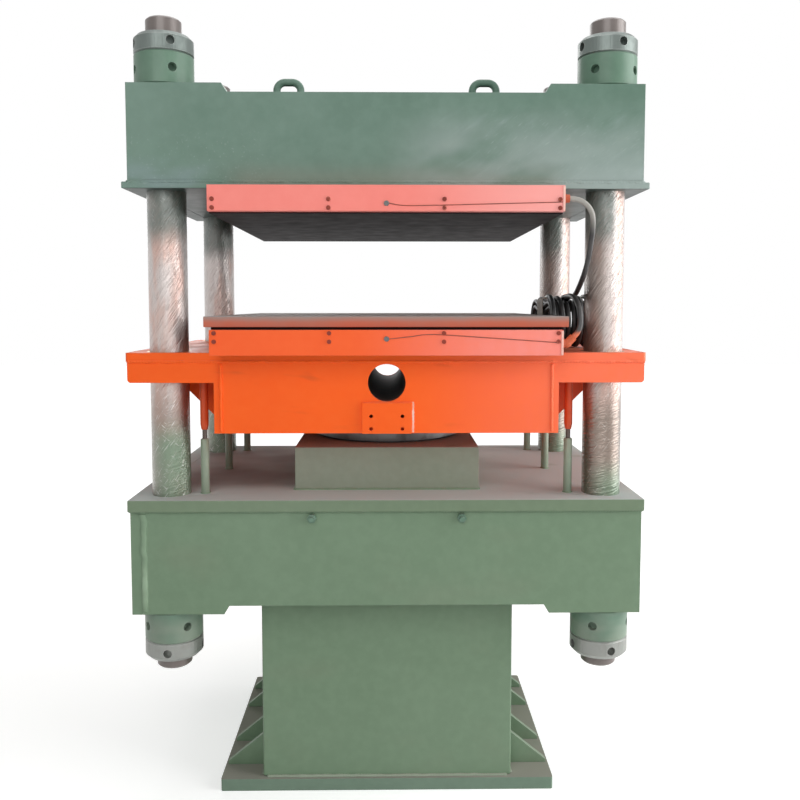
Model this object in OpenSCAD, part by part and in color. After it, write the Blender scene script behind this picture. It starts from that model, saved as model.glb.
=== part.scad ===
// Rubber vulcanizing press of the four-column, up-stroke kind.
// The ram lifts the orange crosshead and the heated lower platen against the fixed upper platen.
// Millimetres. The floor is z = 0, the press is centred on x and y, and its front faces -y.

/* [Foot and pedestal] */
// Width of the foot plate
foot_w = 822; // [720:1:900]
// Depth of the foot plate
foot_d = 560; // [550:1:640]
// Thickness of the foot plate
foot_t = 30; // [20:1:45]
// Corner radius of the foot plate
foot_corner = 6; // [2:1:12]
// Width of the pedestal box
pedestal_w = 616; // [540:1:660]
// Depth of the pedestal box
pedestal_d = 536; // [500:1:545]
// Height of the pedestal box
pedestal_h = 468; // [420:1:600]
// Wall of the pedestal box
pedestal_wall = 16; // [10:1:20]
// Height of the foot gussets
gusset_h = 80; // [50:1:120]
// Thickness of the foot gussets
gusset_t = 14; // [8:1:20]
// Distance of a gusset from the edge of the foot plate
gusset_margin = 6; // [2:1:20]
// Blunt nose at both ends of a gusset
gusset_nose = 8; // [4:1:16]
// Inner gusset row, from the middle
gusset_inner_y = 94; // [60:1:130]
// Outer gusset row, from the middle
gusset_outer_y = 206; // [170:1:235]

/* [Columns and nuts] */
// Distance across, from the side of the crosshead's box to a column's axis
column_gap_x = 118; // [112:1:140]
// Column distance, front to back
column_spacing_y = 580; // [570:1:640]
// Column diameter
column_d = 90; // [84:1:96]
// Diameter of the threaded column ends
column_end_d = 82; // [74:1:83]
// Column end standing above the upper lock nuts
column_top_out = 39; // [10:1:60]
// Column end hanging below the lower lock nuts
column_bottom_out = 26; // [10:1:60]
// Chamfer of the column ends
column_chamfer = 4; // [1:0.5:6]
// Diameter of the round nuts
nut_d = 136; // [124:1:150]
// Height of the main nuts
nut_h = 74; // [50:1:90]
// Height of the lock nuts
lock_nut_h = 44; // [30:1:60]
// Chamfer of the main nuts
nut_chamfer = 3; // [1:0.5:6]
// Outer chamfer of the lock nuts
lock_chamfer = 9; // [4:0.5:12]
// Diameter of the spanner holes
spanner_hole_d = 20; // [14:0.5:24]
// Depth of the spanner holes
spanner_hole_depth = 16; // [8:1:20]
// Radial room of a nut on its thread
thread_gap = 0.15; // [0.1:0.05:0.4]

/* [Base beam] */
// Height of the base beam in the middle
base_h = 224; // [190:1:260]
// Base beam past the nuts at each end
base_end_margin = 11; // [4:1:20]
// Base beam past the nuts at front and back
base_face_margin = 2; // [1:1:8]
// Side and end walls of the base beam
base_wall = 20; // [14:1:26]
// Floor of the base beam
base_floor_t = 25; // [18:1:35]
// Drop of the nut pads below the floor
pad_h = 20; // [10:1:30]
// Length of a nut pad
pad_l = 214; // [180:1:240]
// Slope at the inner end of a nut pad
pad_slope = 12; // [4:1:24]
// Thickness of the deck plate
deck_t = 28; // [20:1:36]
// Deck plate past the base beam at the ends
deck_lip_x = 4; // [2:1:10]
// Deck plate past the base beam at front and back
deck_lip_y = 10; // [4:1:20]
// Thickness of the inner ribs
base_rib_t = 20; // [12:1:26]
// Wall of the column sleeves inside the beams
beam_sleeve_wall = 9; // [6:1:12]
// Radial room of a column end in its sleeve
column_slip = 0.3; // [0.2:0.05:0.5]
// Distance of the front studs from the middle
stud_x = 174; // [120:1:220]
// Drop of the front studs below the deck plate
stud_drop = 16; // [14:1:40]
// Diameter of the front studs
stud_d = 12; // [8:1:16]
// Width across the flats of the stud nuts
stud_nut_af = 19; // [17:1:24]
// Thickness of the stud nuts
stud_nut_t = 10; // [6:1:14]
// Stud end past its nut
stud_out = 9; // [4:1:16]

/* [Ram and cylinder] */
// Ram diameter
ram_d = 360; // [320:1:370]
// Wall of the hollow ram
ram_wall = 65; // [50:1:90]
// Solid head of the ram
ram_head_t = 110; // [80:1:150]
// Diameter of the ram flange
ram_flange_d = 402; // [390:1:430]
// Thickness of the ram flange
ram_flange_t = 44; // [30:1:60]
// Gap under the ram flange when the press is open
ram_rest_gap = 6; // [2:1:12]
// Wall of the cylinder
cylinder_wall = 34; // [25:1:40]
// Room between ram and cylinder
cylinder_gap = 4; // [2:0.5:6]
// Bottom of the cylinder
cylinder_floor_t = 50; // [35:1:70]
// Room under the cylinder
cylinder_lift = 90; // [40:1:140]
// Room under the ram when the press is open
ram_floor_gap = 15; // [8:1:30]
// Shoulder that carries the cylinder on the floor of the base beam
shoulder_w = 20; // [12:1:30]
// Height of that shoulder
shoulder_h = 40; // [25:1:60]
// Width of the cylinder head block
block_w = 448; // [442:1:520]
// Depth of the cylinder head block
block_d = 524; // [460:1:580]
// Height of the cylinder head block
block_h = 104; // [95:1:130]
// Running clearance of ram and columns, on the radius
running_gap = 0.05; // [0.02:0.01:0.09]
// Wall of the ram guide ring
guide_ring_wall = 10; // [6:0.5:12]
// Height of the ram guide ring
guide_ring_h = 50; // [36:1:60]
// Wall of the ram seal
seal_wall = 12; // [8:0.5:14]
// Height of the ram seal
seal_h = 22; // [14:1:26]
// Wall of the ram wiper
wiper_wall = 9; // [6:0.5:12]
// Height of the ram wiper
wiper_h = 12; // [8:1:15]
// Radial room under the soft rings
soft_ring_gap = 0.3; // [0.2:0.05:0.5]
// Diameter of the ram bolts
ram_bolt_d = 20; // [16:1:24]
// Circle of the ram bolts
ram_bolt_circle = 250; // [220:1:260]
// Oil pipe diameter
oil_pipe_d = 50; // [44:1:60]
// Bore of the oil port
oil_port_d = 33.2; // [26.4:0.1:36]
// Depth of the oil port
oil_port_depth = 24; // [16:1:30]
// Oil pipe past the back of the pedestal
oil_pipe_out = 40; // [20:1:70]

/* [Crosshead] */
// Crosshead plate past the guide sleeves at each end
head_end_margin = 26; // [20:1:40]
// Thickness of the crosshead plate
head_plate_t = 20; // [14:1:28]
// Corner radius of the crosshead plate
head_corner = 8; // [3:1:16]
// Width of the crosshead box
head_box_w = 794; // [740:1:815]
// Height of the crosshead box below its plate
head_box_h = 166; // [150:1:210]
// Drop of the wing aprons below the plate
wing_h = 49; // [40:1:70]
// Thickness of the front and rear plates
head_face_t = 12; // [8:1:16]
// Thickness of side plates, end plates and ribs
head_web_t = 12; // [8:1:16]
// Thickness of the crosshead floor
head_floor_t = 20; // [14:1:26]
// Plate past the front and rear plates
head_lip_y = 2; // [1:1:6]
// Plate past the end plates
head_lip_x = 4; // [2:1:8]
// Distance of the inner ribs from the middle
head_rib_x = 200; // [170:1:230]
// Reach of the wing ribs from the box
wing_rib_reach = 86; // [60:1:90]
// Wing rib rows, from the middle
wing_rib_y = 228; // [215:1:230]
// Bore of the cross tube
cross_bore_d = 87; // [70:1:95]
// Wall of the cross tube
cross_tube_wall = 5; // [3:0.5:8]
// Room between cross tube and plate
cross_tube_gap = 1; // [0.5:0.5:3]
// Width of the tapped plate
tap_plate_w = 113; // [100:1:140]
// Height of the tapped plate
tap_plate_h = 71; // [62:1:72]
// Thickness of the tapped plate
tap_plate_t = 8; // [5:1:12]
// Hole distance of the tapped plate, across
tap_pitch_x = 72; // [60:1:84]
// Hole distance of the tapped plate, upright
tap_pitch_z = 29; // [24:1:34]
// Lower holes above the edge of the tapped plate
tap_low = 11; // [9:1:16]
// Diameter of the tapped holes
tap_hole_d = 8.5; // [6.8:0.1:10.2]
// Wall of the guide bushes
bush_wall = 6; // [4:0.5:8]
// Wall of the guide sleeves
sleeve_wall = 6; // [4:0.5:8]
// Room between guide sleeve and front plate
sleeve_gap = 1; // [0.5:0.5:3]

/* [Stops] */
// Distance from the side of a guide sleeve to the axis of a stop
stop_side = 23; // [21:0.5:26]
// Diameter of the stop posts
post_d = 20; // [16:0.5:24]
// Height of the stop posts
post_h = 131; // [110:1:140]
// Diameter of the stop stubs
stub_d = 19.5; // [16:0.5:22]
// Tip diameter of the stop stubs
stub_tip_d = 15; // [14:0.5:16]
// Length of the tapered tip
stub_taper = 12; // [6:1:18]
// Diameter of the stop screws
stop_screw_d = 11; // [8:0.5:12]
// Stop screw past its stub
stop_screw_out = 22; // [14:1:30]
// Stop screw inside its stub
stop_screw_in = 30; // [20:1:50]
// Gap between stop screw and post when the press is open
stop_gap = 0.3; // [0.2:0.05:0.5]

/* [Platens] */
// Width of the heated platens
platen_w = 786; // [770:1:800]
// Depth of the heated platens
platen_d = 796; // [760:1:806]
// Thickness of the heated platens
platen_t = 46; // [42:1:60]
// Thickness of the insulation boards
insulation_t = 14; // [8:1:20]
// Insulation board set back from the platen edge
insulation_inset = 4; // [2:1:10]
// Side of the mould plate
mould_plate_w = 816; // [800:1:818]
// Thickness of the mould plate
mould_plate_t = 24; // [16:1:32]
// Daylight between the platens when the press is open
daylight = 228; // [200:1:260]
// Closed gap between the platens at full stroke
closed_gap = 0.5; // [0.3:0.1:2]
// Pairs of heater rods in each platen
heater_pairs = 4; // [3:1:4]
// Diameter of the heater rods
heater_d = 16; // [12:0.5:18]
// Radial room of a heater rod in its bore
heater_gap = 0.2; // [0.1:0.05:0.4]
// Heater rod past the platen at each end
heater_out = 6; // [3:1:8]
// Diameter of the heater terminals
terminal_d = 5; // [4:0.5:7]
// Length of the heater terminals
terminal_l = 7; // [4:1:9]
// Diameter of the platen bolts
platen_bolt_d = 16; // [10:1:18]
// Depth of the platen bolts in the platen
platen_bolt_in = 12; // [8:1:13]
// Platen bolt rows, from the middle
platen_bolt_y = 250; // [220:1:270]

/* [Terminal covers] */
// Width of a terminal cover
cover_w = 786; // [770:1:800]
// Height of a terminal cover
cover_h = 57; // [52:1:58]
// Depth of a terminal cover
cover_depth = 23; // [21:1:28]
// Sheet thickness of a terminal cover
cover_sheet = 2; // [1:0.5:3]
// Lower cover hanging below the crosshead plate top
cover_hang = 3; // [1:1:4]
// Diameter of the cover screws
cover_screw_d = 5; // [4:0.5:6]
// Head diameter of the cover screws
cover_head_d = 9.5; // [8:0.5:11]
// Head height of the cover screws
cover_head_h = 3; // [2:0.5:4]
// Cover screws in from the ends
cover_screw_edge = 11; // [8:1:16]
// First screw row in from the working edge
screw_row_a = 7; // [6:0.5:9]
// Second screw row in from the working edge
screw_row_b = 26; // [22:0.5:30]
// Screw depth in the platen
cover_screw_in = 12; // [8:1:16]
// Diameter of the thermocouple
probe_d = 6; // [4:0.5:8]
// Depth of the thermocouple in the platen
probe_in = 90; // [60:1:120]
// Collar diameter of the thermocouple
probe_collar_d = 11; // [9:0.5:14]
// Thermocouple below the middle of the platen
probe_drop = 3; // [0:0.5:5]
// Radial room in screw, probe and gland holes
hole_gap = 0.3; // [0.2:0.05:0.5]

/* [Lifting loops] */
// Bar diameter of the lifting loops
loop_bar_d = 18; // [14:0.5:22]
// Width of a lifting loop over the bar centres
loop_w = 58; // [50:1:80]
// Height of the bar centre above the beam
loop_h = 62; // [45:1:80]
// Bend radius of the bar centre
loop_bend_r = 20; // [18:1:25]
// Lifting loops from the middle, sideways
loop_x = 238; // [180:1:300]
// Lifting loops from the middle, front and back
loop_y = 200; // [150:1:240]

/* [Top beam] */
// Height of the top beam in the middle
beam_h = 200; // [170:1:240]
// Top beam past the nuts at each end
beam_end_margin = 2; // [1:1:10]
// Top beam past the nuts at front and back
beam_face_margin = 1; // [1:1:6]
// Walls of the top beam
beam_wall = 18; // [12:1:24]
// Crown of the top beam
beam_crown_t = 20; // [14:1:28]
// Thickness of the bottom flange
flange_t = 15; // [10:1:22]
// Flange past the beam at the ends
flange_lip_x = 13; // [6:1:20]
// Flange past the beam at front and back
flange_lip_y = 3; // [1:1:8]

/* [Heater leads] */
// Diameter of the heater leads
lead_d = 12; // [12:0.5:12]
// Outer diameter of a cable gland
gland_d = 18; // [16:0.5:18]
// Diameter of the ball knee of a cable gland
gland_knee_d = 20; // [19:0.5:20]
// Length of an elbow gland's outlet, from its knee
gland_reach = 20; // [18:0.5:20]
// Gap between a gland's mouth and the lead's end
lead_gap = 0.3; // [0.2:0.05:0.5]
// Flange diameter of a cable gland
gland_flange_d = 22; // [20:0.5:22]
// Thickness of a gland flange
gland_flange_t = 4; // [3:0.5:6]
// Wall of the tape around the hanks
tape_t = 1.2; // [0.8:0.1:1.6]
// Width of the tape
tape_w = 78; // [60:1:80]

/* [Hidden] */
$fn = 96;
green = [0.45, 0.54, 0.47];
dark_green = [0.36, 0.45, 0.39];
orange = [0.95, 0.40, 0.16];
steel = [0.72, 0.72, 0.72];
bright = [0.85, 0.84, 0.83];
bronze = [0.72, 0.52, 0.28];
board = [0.82, 0.79, 0.70];
black = [0.08, 0.08, 0.08];
tan = [0.48, 0.42, 0.36];

// Heights
z_foot = foot_t;
z_base = z_foot + pedestal_h;
z_base_pad = z_base - pad_h;
z_base_top = z_base + base_h;
z_deck = z_base_top + deck_t;
z_block = z_deck + block_h;
z_ram_flange = z_block + ram_rest_gap;
z_head = z_ram_flange + ram_flange_t;
z_head_floor = z_head + head_floor_t;
z_plate = z_head + head_box_h;
z_shelf = z_plate + head_plate_t;
z_lower_platen = z_shelf + insulation_t;
z_mould_plate = z_lower_platen + platen_t;
z_lower_face = z_mould_plate + mould_plate_t;
z_upper_face = z_lower_face + daylight;
z_upper_board = z_upper_face + platen_t;
z_flange = z_upper_board + insulation_t;
z_beam = z_flange + flange_t;
z_beam_top = z_beam + beam_h;
z_beam_pad = z_beam_top + pad_h;
z_wing = z_plate - wing_h;
z_post = z_deck + post_h;
z_stub = z_post + stop_gap + stop_screw_out;
z_column_low = z_base_pad - nut_h - lock_nut_h - column_bottom_out;
z_column_high = z_beam_pad + nut_h + lock_nut_h + column_top_out;
stroke = daylight - closed_gap;

// Plans
column_spacing_x = head_box_w + 2 * column_gap_x;
column_x = column_spacing_x / 2;
column_y = column_spacing_y / 2;
nut_reach_x = column_spacing_x + nut_d;
nut_reach_y = column_spacing_y + nut_d;
base_w = nut_reach_x + 2 * base_end_margin;
base_d = nut_reach_y + 2 * base_face_margin;
beam_w = nut_reach_x + 2 * beam_end_margin;
beam_d = nut_reach_y + 2 * beam_face_margin;
gusset_l = (foot_w - pedestal_w) / 2 - gusset_margin;
bush_id = column_d + 2 * running_gap;
bush_od = bush_id + 2 * bush_wall;
sleeve_od = bush_od + 2 * sleeve_wall;
head_w = column_spacing_x + sleeve_od + 2 * head_end_margin;
stop_x = column_x - sleeve_od / 2 - stop_side;
head_face_out = column_y + sleeve_od / 2 + sleeve_gap + head_face_t;
head_face_in = head_face_out - head_face_t;
head_d = 2 * (head_face_out + head_lip_y);
wing_w = head_w - 2 * head_lip_x;
cross_tube_od = cross_bore_d + 2 * cross_tube_wall;
z_cross = z_plate - cross_tube_od / 2 - cross_tube_gap;
cylinder_bore = ram_d + 2 * cylinder_gap;
cylinder_od = cylinder_bore + 2 * cylinder_wall;
shoulder_d = cylinder_od + 2 * shoulder_w;
z_cylinder = z_foot + cylinder_lift;
z_ram = z_cylinder + cylinder_floor_t + ram_floor_gap;
guide_ring_id = ram_d + 2 * running_gap;
guide_ring_od = guide_ring_id + 2 * guide_ring_wall;
soft_id = ram_d + 2 * soft_ring_gap;
z_seal = z_deck + guide_ring_h;
z_wiper = z_block - wiper_h;
z_oil = z_ram + ram_floor_gap + oil_pipe_d / 2;
base_rib_x = shoulder_d / 2 + base_rib_t;
heater_pitch = platen_w / (2 * heater_pairs);
platen_bolt_x = (heater_pairs - 1) * heater_pitch;
cover_y = platen_d / 2 + cover_depth;
screw_span = cover_w / 2 - cover_screw_edge;
z_upper_cover = z_flange - cover_h;
z_lower_cover = z_shelf - cover_hang;

// Turn of each nut's spanner holes: front left, front right, rear left, rear right
main_turn_high = [30, -38, 10, 55];
lock_turn_high = [27, 17, -20, 40];
main_turn_low = [41, -26, 15, -35];
lock_turn_low = [0, 13, 30, -15];

// Heater lead from the upper platen to its hank
upper_route = [
    [405, -409, 1434], [410, -409, 1434], [428, -409, 1430.5], [443.5, -409, 1420.5],
    [454, -409, 1405.5], [458, -408, 1388], [458, -406, 1364], [456, -402, 1339], [454, -395, 1314],
    [452, -383, 1291], [450, -366, 1270], [449, -342, 1252], [450, -313, 1239], [453, -281, 1230],
    [457, -247, 1225], [462, -213, 1222], [467, -181, 1221], [470, -160, 1221], [470, -145, 1221]
];
// Heater lead from the lower platen to its hank
lower_route = [
    [418, -409, 1128], [421, -409, 1131], [428, -409, 1140], [432, -408, 1151], [434, -406, 1163],
    [434, -401, 1178], [434, -390, 1194], [433, -372, 1207], [432, -348, 1216], [432, -318, 1220],
    [434, -286, 1221], [438, -254, 1221], [443, -222, 1221], [449, -192, 1221], [454, -168, 1221],
    [456, -155, 1221], [456, -145, 1221]
];
// Middle of the hanks, the first layers, and the shape of their loops
hank_y = -40;
hank_z = 1157.2;
upper_hank_x = 470;
lower_hank_x = 456;
hank_run = 95;
hank_fold_r = 36.5;
hank_step = 15.6;
hank_pitch = 13;
hank_waist = 15;
hank_turns = 2;
hank_layers = 4;
hank_rings = 24;
hank_run_rings = 7;
hank_tail = 9.7;

module at_columns() {
    for (x = [-1, 1], y = [-1, 1])
        translate([x * column_x, y * column_y, 0])
            children();
}

module at_stops() {
    for (x = [-1, 1], y = [-1, 0, 1])
        translate([x * stop_x, y * column_y, 0])
            children();
}

module slab(w, d, h) {
    translate([-w / 2, -d / 2, 0])
        cube([w, d, h]);
}

module rounded_rect(w, d, r) {
    square([w - 2 * r, d], center = true);
    square([w, d - 2 * r], center = true);
    for (x = [-1, 1], y = [-1, 1])
        translate([x * (w / 2 - r), y * (d / 2 - r)])
            circle(r = r);
}

module ring(od, id, h) {
    difference() {
        cylinder(d = od, h = h);
        translate([0, 0, -1])
            cylinder(d = id, h = h + 2);
    }
}

// A cylinder along y from y0 to y1
module rod_y(d, y0, y1) {
    translate([0, y1, 0])
        rotate([90, 0, 0])
            cylinder(d = d, h = y1 - y0);
}

// Foot and pedestal

module foot_plate() {
    color(green)
        linear_extrude(foot_t)
            rounded_rect(foot_w, foot_d, foot_corner);
}

module foot_gussets() {
    color(green)
        for (s = [0, 180], y = [-gusset_outer_y, -gusset_inner_y, gusset_inner_y, gusset_outer_y])
            rotate([0, 0, s])
                translate([pedestal_w / 2, y + gusset_t / 2, z_foot])
                    rotate([90, 0, 0])
                        linear_extrude(gusset_t)
                            polygon([
                                [0, 0], [gusset_l, 0], [gusset_l, gusset_nose],
                                [gusset_nose, gusset_h], [0, gusset_h]
                            ]);
}

module pedestal() {
    color(green)
        difference() {
            translate([0, 0, z_foot])
                slab(pedestal_w, pedestal_d, pedestal_h);
            translate([0, 0, z_foot - 1])
                slab(pedestal_w - 2 * pedestal_wall, pedestal_d - 2 * pedestal_wall, pedestal_h + 2);
            translate([0, 0, z_oil])
                rod_y(oil_pipe_d + 2 * hole_gap, 0, pedestal_d);
        }
}

// Base beam

module beam_outline(w, h) {
    pad_in = w / 2 - pad_l;
    polygon([
        [-w / 2, 0], [w / 2, 0], [w / 2, h + pad_h], [pad_in, h + pad_h], [pad_in - pad_slope, h],
        [-pad_in + pad_slope, h], [-pad_in, h + pad_h], [-w / 2, h + pad_h]
    ]);
}

module base_beam() {
    color(green)
        difference() {
            union() {
                difference() {
                    translate([0, base_d / 2, z_base_top])
                        rotate([90, 0, 0])
                            mirror([0, 1, 0])
                                linear_extrude(base_d)
                                    beam_outline(base_w, base_h);
                    translate([0, 0, z_base + base_floor_t])
                        slab(base_w - 2 * base_wall, base_d - 2 * base_wall, base_h);
                }
                at_columns()
                    translate([0, 0, z_base])
                        cylinder(d = column_end_d + 2 * (column_slip + beam_sleeve_wall), h = base_h);
                for (s = [-1, 1])
                    translate([s * base_rib_x, 0, z_base + base_floor_t - 1])
                        slab(base_rib_t, base_d - base_wall, base_h - base_floor_t + 1);
            }
            at_columns()
                translate([0, 0, z_base_pad - 1])
                    cylinder(d = column_end_d + 2 * column_slip, h = base_h + pad_h + 2);
            translate([0, 0, z_base - 1])
                cylinder(d = cylinder_od + 2 * column_slip, h = base_floor_t + 2);
            for (s = [-1, 1])
                translate([s * stud_x, 0, z_base_top - stud_drop])
                    rod_y(stud_d + 2 * hole_gap, -base_d / 2 - 1, -base_d / 2 + base_wall + 1);
        }
}

module base_deck() {
    color(dark_green)
        difference() {
            translate([0, 0, z_base_top])
                slab(base_w + 2 * deck_lip_x, base_d + 2 * deck_lip_y, deck_t);
            at_columns()
                translate([0, 0, z_base_top - 1])
                    cylinder(d = column_end_d + 2 * column_slip, h = deck_t + 2);
            translate([0, 0, z_base_top - 1])
                cylinder(d = cylinder_od + 2 * column_slip, h = deck_t + 2);
        }
}

module base_studs() {
    color(dark_green)
        for (s = [-1, 1])
            translate([s * stud_x, -base_d / 2, z_base_top - stud_drop]) {
                rod_y(stud_d, -stud_nut_t - stud_out, base_wall);
                rotate([90, 0, 0])
                    cylinder(d = stud_nut_af / cos(30), h = stud_nut_t, $fn = 6);
            }
}

// Columns and nuts

module column() {
    color(bright)
        rotate_extrude()
            polygon([
                [0, z_column_low], [column_end_d / 2 - column_chamfer, z_column_low],
                [column_end_d / 2, z_column_low + column_chamfer], [column_end_d / 2, z_deck],
                [column_d / 2, z_deck], [column_d / 2, z_flange], [column_end_d / 2, z_flange],
                [column_end_d / 2, z_column_high - column_chamfer],
                [column_end_d / 2 - column_chamfer, z_column_high], [0, z_column_high]
            ]);
}

module column_front_left() {
    translate([-column_x, -column_y, 0])
        column();
}

module column_front_right() {
    translate([column_x, -column_y, 0])
        column();
}

module column_rear_left() {
    translate([-column_x, column_y, 0])
        column();
}

module column_rear_right() {
    translate([column_x, column_y, 0])
        column();
}

// A round nut with four spanner holes; c0 and c1 are its lower and upper chamfers
module round_nut(h, c0, c1, turn) {
    bore = column_end_d / 2 + thread_gap;
    r = nut_d / 2;
    difference() {
        rotate_extrude()
            polygon([
                [bore, 0], [r - c0, 0], [r, c0], [r, h - c1], [r - c1, h], [bore, h]
            ]);
        for (a = [0 : 90 : 270])
            rotate([0, 0, turn + a])
                translate([0, 0, h / 2])
                    rod_y(spanner_hole_d, -r - 1, -r + spanner_hole_depth);
    }
}

module nut_set(z, h, c0, c1, turns) {
    for (i = [0 : 3])
        translate([(i % 2 * 2 - 1) * column_x, (floor(i / 2) * 2 - 1) * column_y, z])
            round_nut(h, c0, c1, turns[i]);
}

module column_nuts() {
    color(green) {
        nut_set(z_beam_pad, nut_h, nut_chamfer, nut_chamfer, main_turn_high);
        nut_set(z_base_pad - nut_h, nut_h, nut_chamfer, nut_chamfer, main_turn_low);
    }
}

module lock_nuts() {
    color(steel) {
        nut_set(z_beam_pad + nut_h, lock_nut_h, nut_chamfer, lock_chamfer, lock_turn_high);
        nut_set(z_base_pad - nut_h - lock_nut_h, lock_nut_h, lock_chamfer, nut_chamfer, lock_turn_low);
    }
}

// Top beam

module top_beam() {
    color(green)
        difference() {
            union() {
                difference() {
                    translate([0, beam_d / 2, z_beam])
                        rotate([90, 0, 0])
                            linear_extrude(beam_d)
                                beam_outline(beam_w, beam_h);
                    translate([0, 0, z_beam - 1])
                        slab(beam_w - 2 * beam_wall, beam_d - 2 * beam_wall, beam_h - beam_crown_t + 1);
                }
                at_columns()
                    translate([0, 0, z_beam])
                        cylinder(d = column_end_d + 2 * (column_slip + beam_sleeve_wall), h = beam_h);
                for (s = [-1, 1])
                    translate([s * base_rib_x, 0, z_beam])
                        slab(beam_wall, beam_d - beam_wall, beam_h - 1);
            }
            at_columns()
                translate([0, 0, z_beam - 1])
                    cylinder(d = column_end_d + 2 * column_slip, h = beam_h + pad_h + 2);
        }
}

module beam_flange() {
    color(green)
        difference() {
            translate([0, 0, z_flange])
                slab(beam_w + 2 * flange_lip_x, beam_d + 2 * flange_lip_y, flange_t);
            at_columns()
                translate([0, 0, z_flange - 1])
                    cylinder(d = column_end_d + 2 * column_slip, h = flange_t + 2);
            at_platen_bolts()
                translate([0, 0, z_flange - 1])
                    cylinder(d = platen_bolt_d + 2 * hole_gap, h = flange_t + 2);
        }
}

// A quarter bend of the loop bar
module loop_bend() {
    rotate([90, 0, 0])
        rotate_extrude(angle = 90)
            translate([loop_bend_r, 0])
                circle(d = loop_bar_d);
}

module lifting_loop() {
    leg = loop_h - loop_bend_r;
    for (s = [0, 180])
        rotate([0, 0, s]) {
            translate([loop_w / 2, 0, 0])
                cylinder(d = loop_bar_d, h = leg);
            translate([loop_w / 2 - loop_bend_r, 0, leg])
                loop_bend();
        }
    translate([-loop_w / 2 + loop_bend_r, 0, loop_h])
        rotate([0, 90, 0])
            cylinder(d = loop_bar_d, h = loop_w - 2 * loop_bend_r);
}

module lifting_loops() {
    color(dark_green)
        for (x = [-1, 1], y = [-1, 1])
            translate([x * loop_x, y * loop_y, z_beam_top])
                lifting_loop();
}

// Ram and cylinder

module cylinder_body() {
    color(steel)
        difference() {
            union() {
                translate([0, 0, z_cylinder])
                    cylinder(d = cylinder_od, h = z_deck - z_cylinder);
                translate([0, 0, z_base + base_floor_t])
                    cylinder(d = shoulder_d, h = shoulder_h);
            }
            translate([0, 0, z_cylinder + cylinder_floor_t])
                cylinder(d = cylinder_bore, h = z_deck - z_cylinder);
            translate([0, 0, z_oil])
                rod_y(oil_pipe_d / 2, 0, cylinder_od);
        }
}

module cylinder_block() {
    color(green)
        difference() {
            translate([0, 0, z_deck])
                slab(block_w, block_d, block_h);
            translate([0, 0, z_deck - 1])
                cylinder(d = ram_d + 2 * cylinder_gap / 2, h = block_h + 2);
            translate([0, 0, z_deck - 1])
                cylinder(d = guide_ring_od, h = guide_ring_h + 1);
            translate([0, 0, z_seal - 0.01])
                cylinder(d = soft_id + 2 * seal_wall, h = seal_h + 0.01);
            translate([0, 0, z_wiper])
                cylinder(d = soft_id + 2 * wiper_wall, h = wiper_h + 1);
        }
}

module ram_guide_ring() {
    color(bronze)
        translate([0, 0, z_deck])
            ring(guide_ring_od, guide_ring_id, guide_ring_h);
}

module ram_seals() {
    color(black) {
        translate([0, 0, z_seal])
            ring(soft_id + 2 * seal_wall, soft_id, seal_h);
        translate([0, 0, z_wiper])
            ring(soft_id + 2 * wiper_wall, soft_id, wiper_h);
    }
}

module oil_inlet() {
    color(steel)
        difference() {
            translate([0, 0, z_oil])
                rod_y(oil_pipe_d, 0, pedestal_d / 2 + oil_pipe_out);
            translate([0, 0, z_cylinder])
                cylinder(d = cylinder_od, h = z_deck - z_cylinder);
            translate([0, 0, z_oil])
                rod_y(oil_pipe_d / 2, 0, pedestal_d);
            translate([0, 0, z_oil])
                rod_y(oil_port_d, pedestal_d / 2 + oil_pipe_out - oil_port_depth, pedestal_d);
        }
}

module ram() {
    color(bright)
        difference() {
            union() {
                translate([0, 0, z_ram])
                    cylinder(d = ram_d, h = z_head - z_ram);
                translate([0, 0, z_ram_flange])
                    cylinder(d = ram_flange_d, h = ram_flange_t);
            }
            translate([0, 0, z_ram - 1])
                cylinder(d = ram_d - 2 * ram_wall, h = z_head - ram_head_t - z_ram + 1);
            at_ram_bolts()
                translate([0, 0, z_head - 2 * ram_bolt_d])
                    cylinder(d = ram_bolt_d + 2 * hole_gap, h = 2 * ram_bolt_d + 1);
        }
}

module at_ram_bolts() {
    for (a = [30 : 60 : 330])
        rotate([0, 0, a])
            translate([ram_bolt_circle / 2, 0, 0])
                children();
}

module ram_bolts() {
    color(steel)
        at_ram_bolts() {
            translate([0, 0, z_head - 2 * ram_bolt_d + 2])
                cylinder(d = ram_bolt_d, h = head_floor_t + 2 * ram_bolt_d - 2);
            translate([0, 0, z_head_floor])
                cylinder(d = 1.7 * ram_bolt_d, h = 0.65 * ram_bolt_d, $fn = 6);
        }
}

// Crosshead

module crosshead_plate() {
    color(orange)
        difference() {
            translate([0, 0, z_plate])
                linear_extrude(head_plate_t)
                    rounded_rect(head_w, head_d, head_corner);
            at_columns()
                translate([0, 0, z_plate - 1])
                    cylinder(d = bush_od, h = head_plate_t + 2);
            at_platen_bolts()
                translate([0, 0, z_plate - 1])
                    cylinder(d = platen_bolt_d + 2 * hole_gap, h = head_plate_t + 2);
        }
}

// The T-shaped front and rear plates of the crosshead box
module head_face() {
    difference() {
        union() {
            translate([-head_box_w / 2, z_head])
                square([head_box_w, head_box_h]);
            translate([-wing_w / 2, z_wing + head_corner])
                square([wing_w, wing_h - head_corner]);
            translate([-wing_w / 2 + head_corner, z_wing])
                square([wing_w - 2 * head_corner, wing_h]);
            for (s = [-1, 1])
                translate([s * (wing_w / 2 - head_corner), z_wing + head_corner])
                    circle(r = head_corner);
        }
        translate([0, z_cross])
            circle(d = cross_bore_d);
    }
}

module crosshead_front() {
    color(orange)
        difference() {
            translate([0, -head_face_in, 0])
                rotate([90, 0, 0])
                    linear_extrude(head_face_t)
                        head_face();
            at_tap_holes()
                rod_y(tap_hole_d, -head_face_out - 1, -head_face_in + 1);
        }
}

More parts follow.
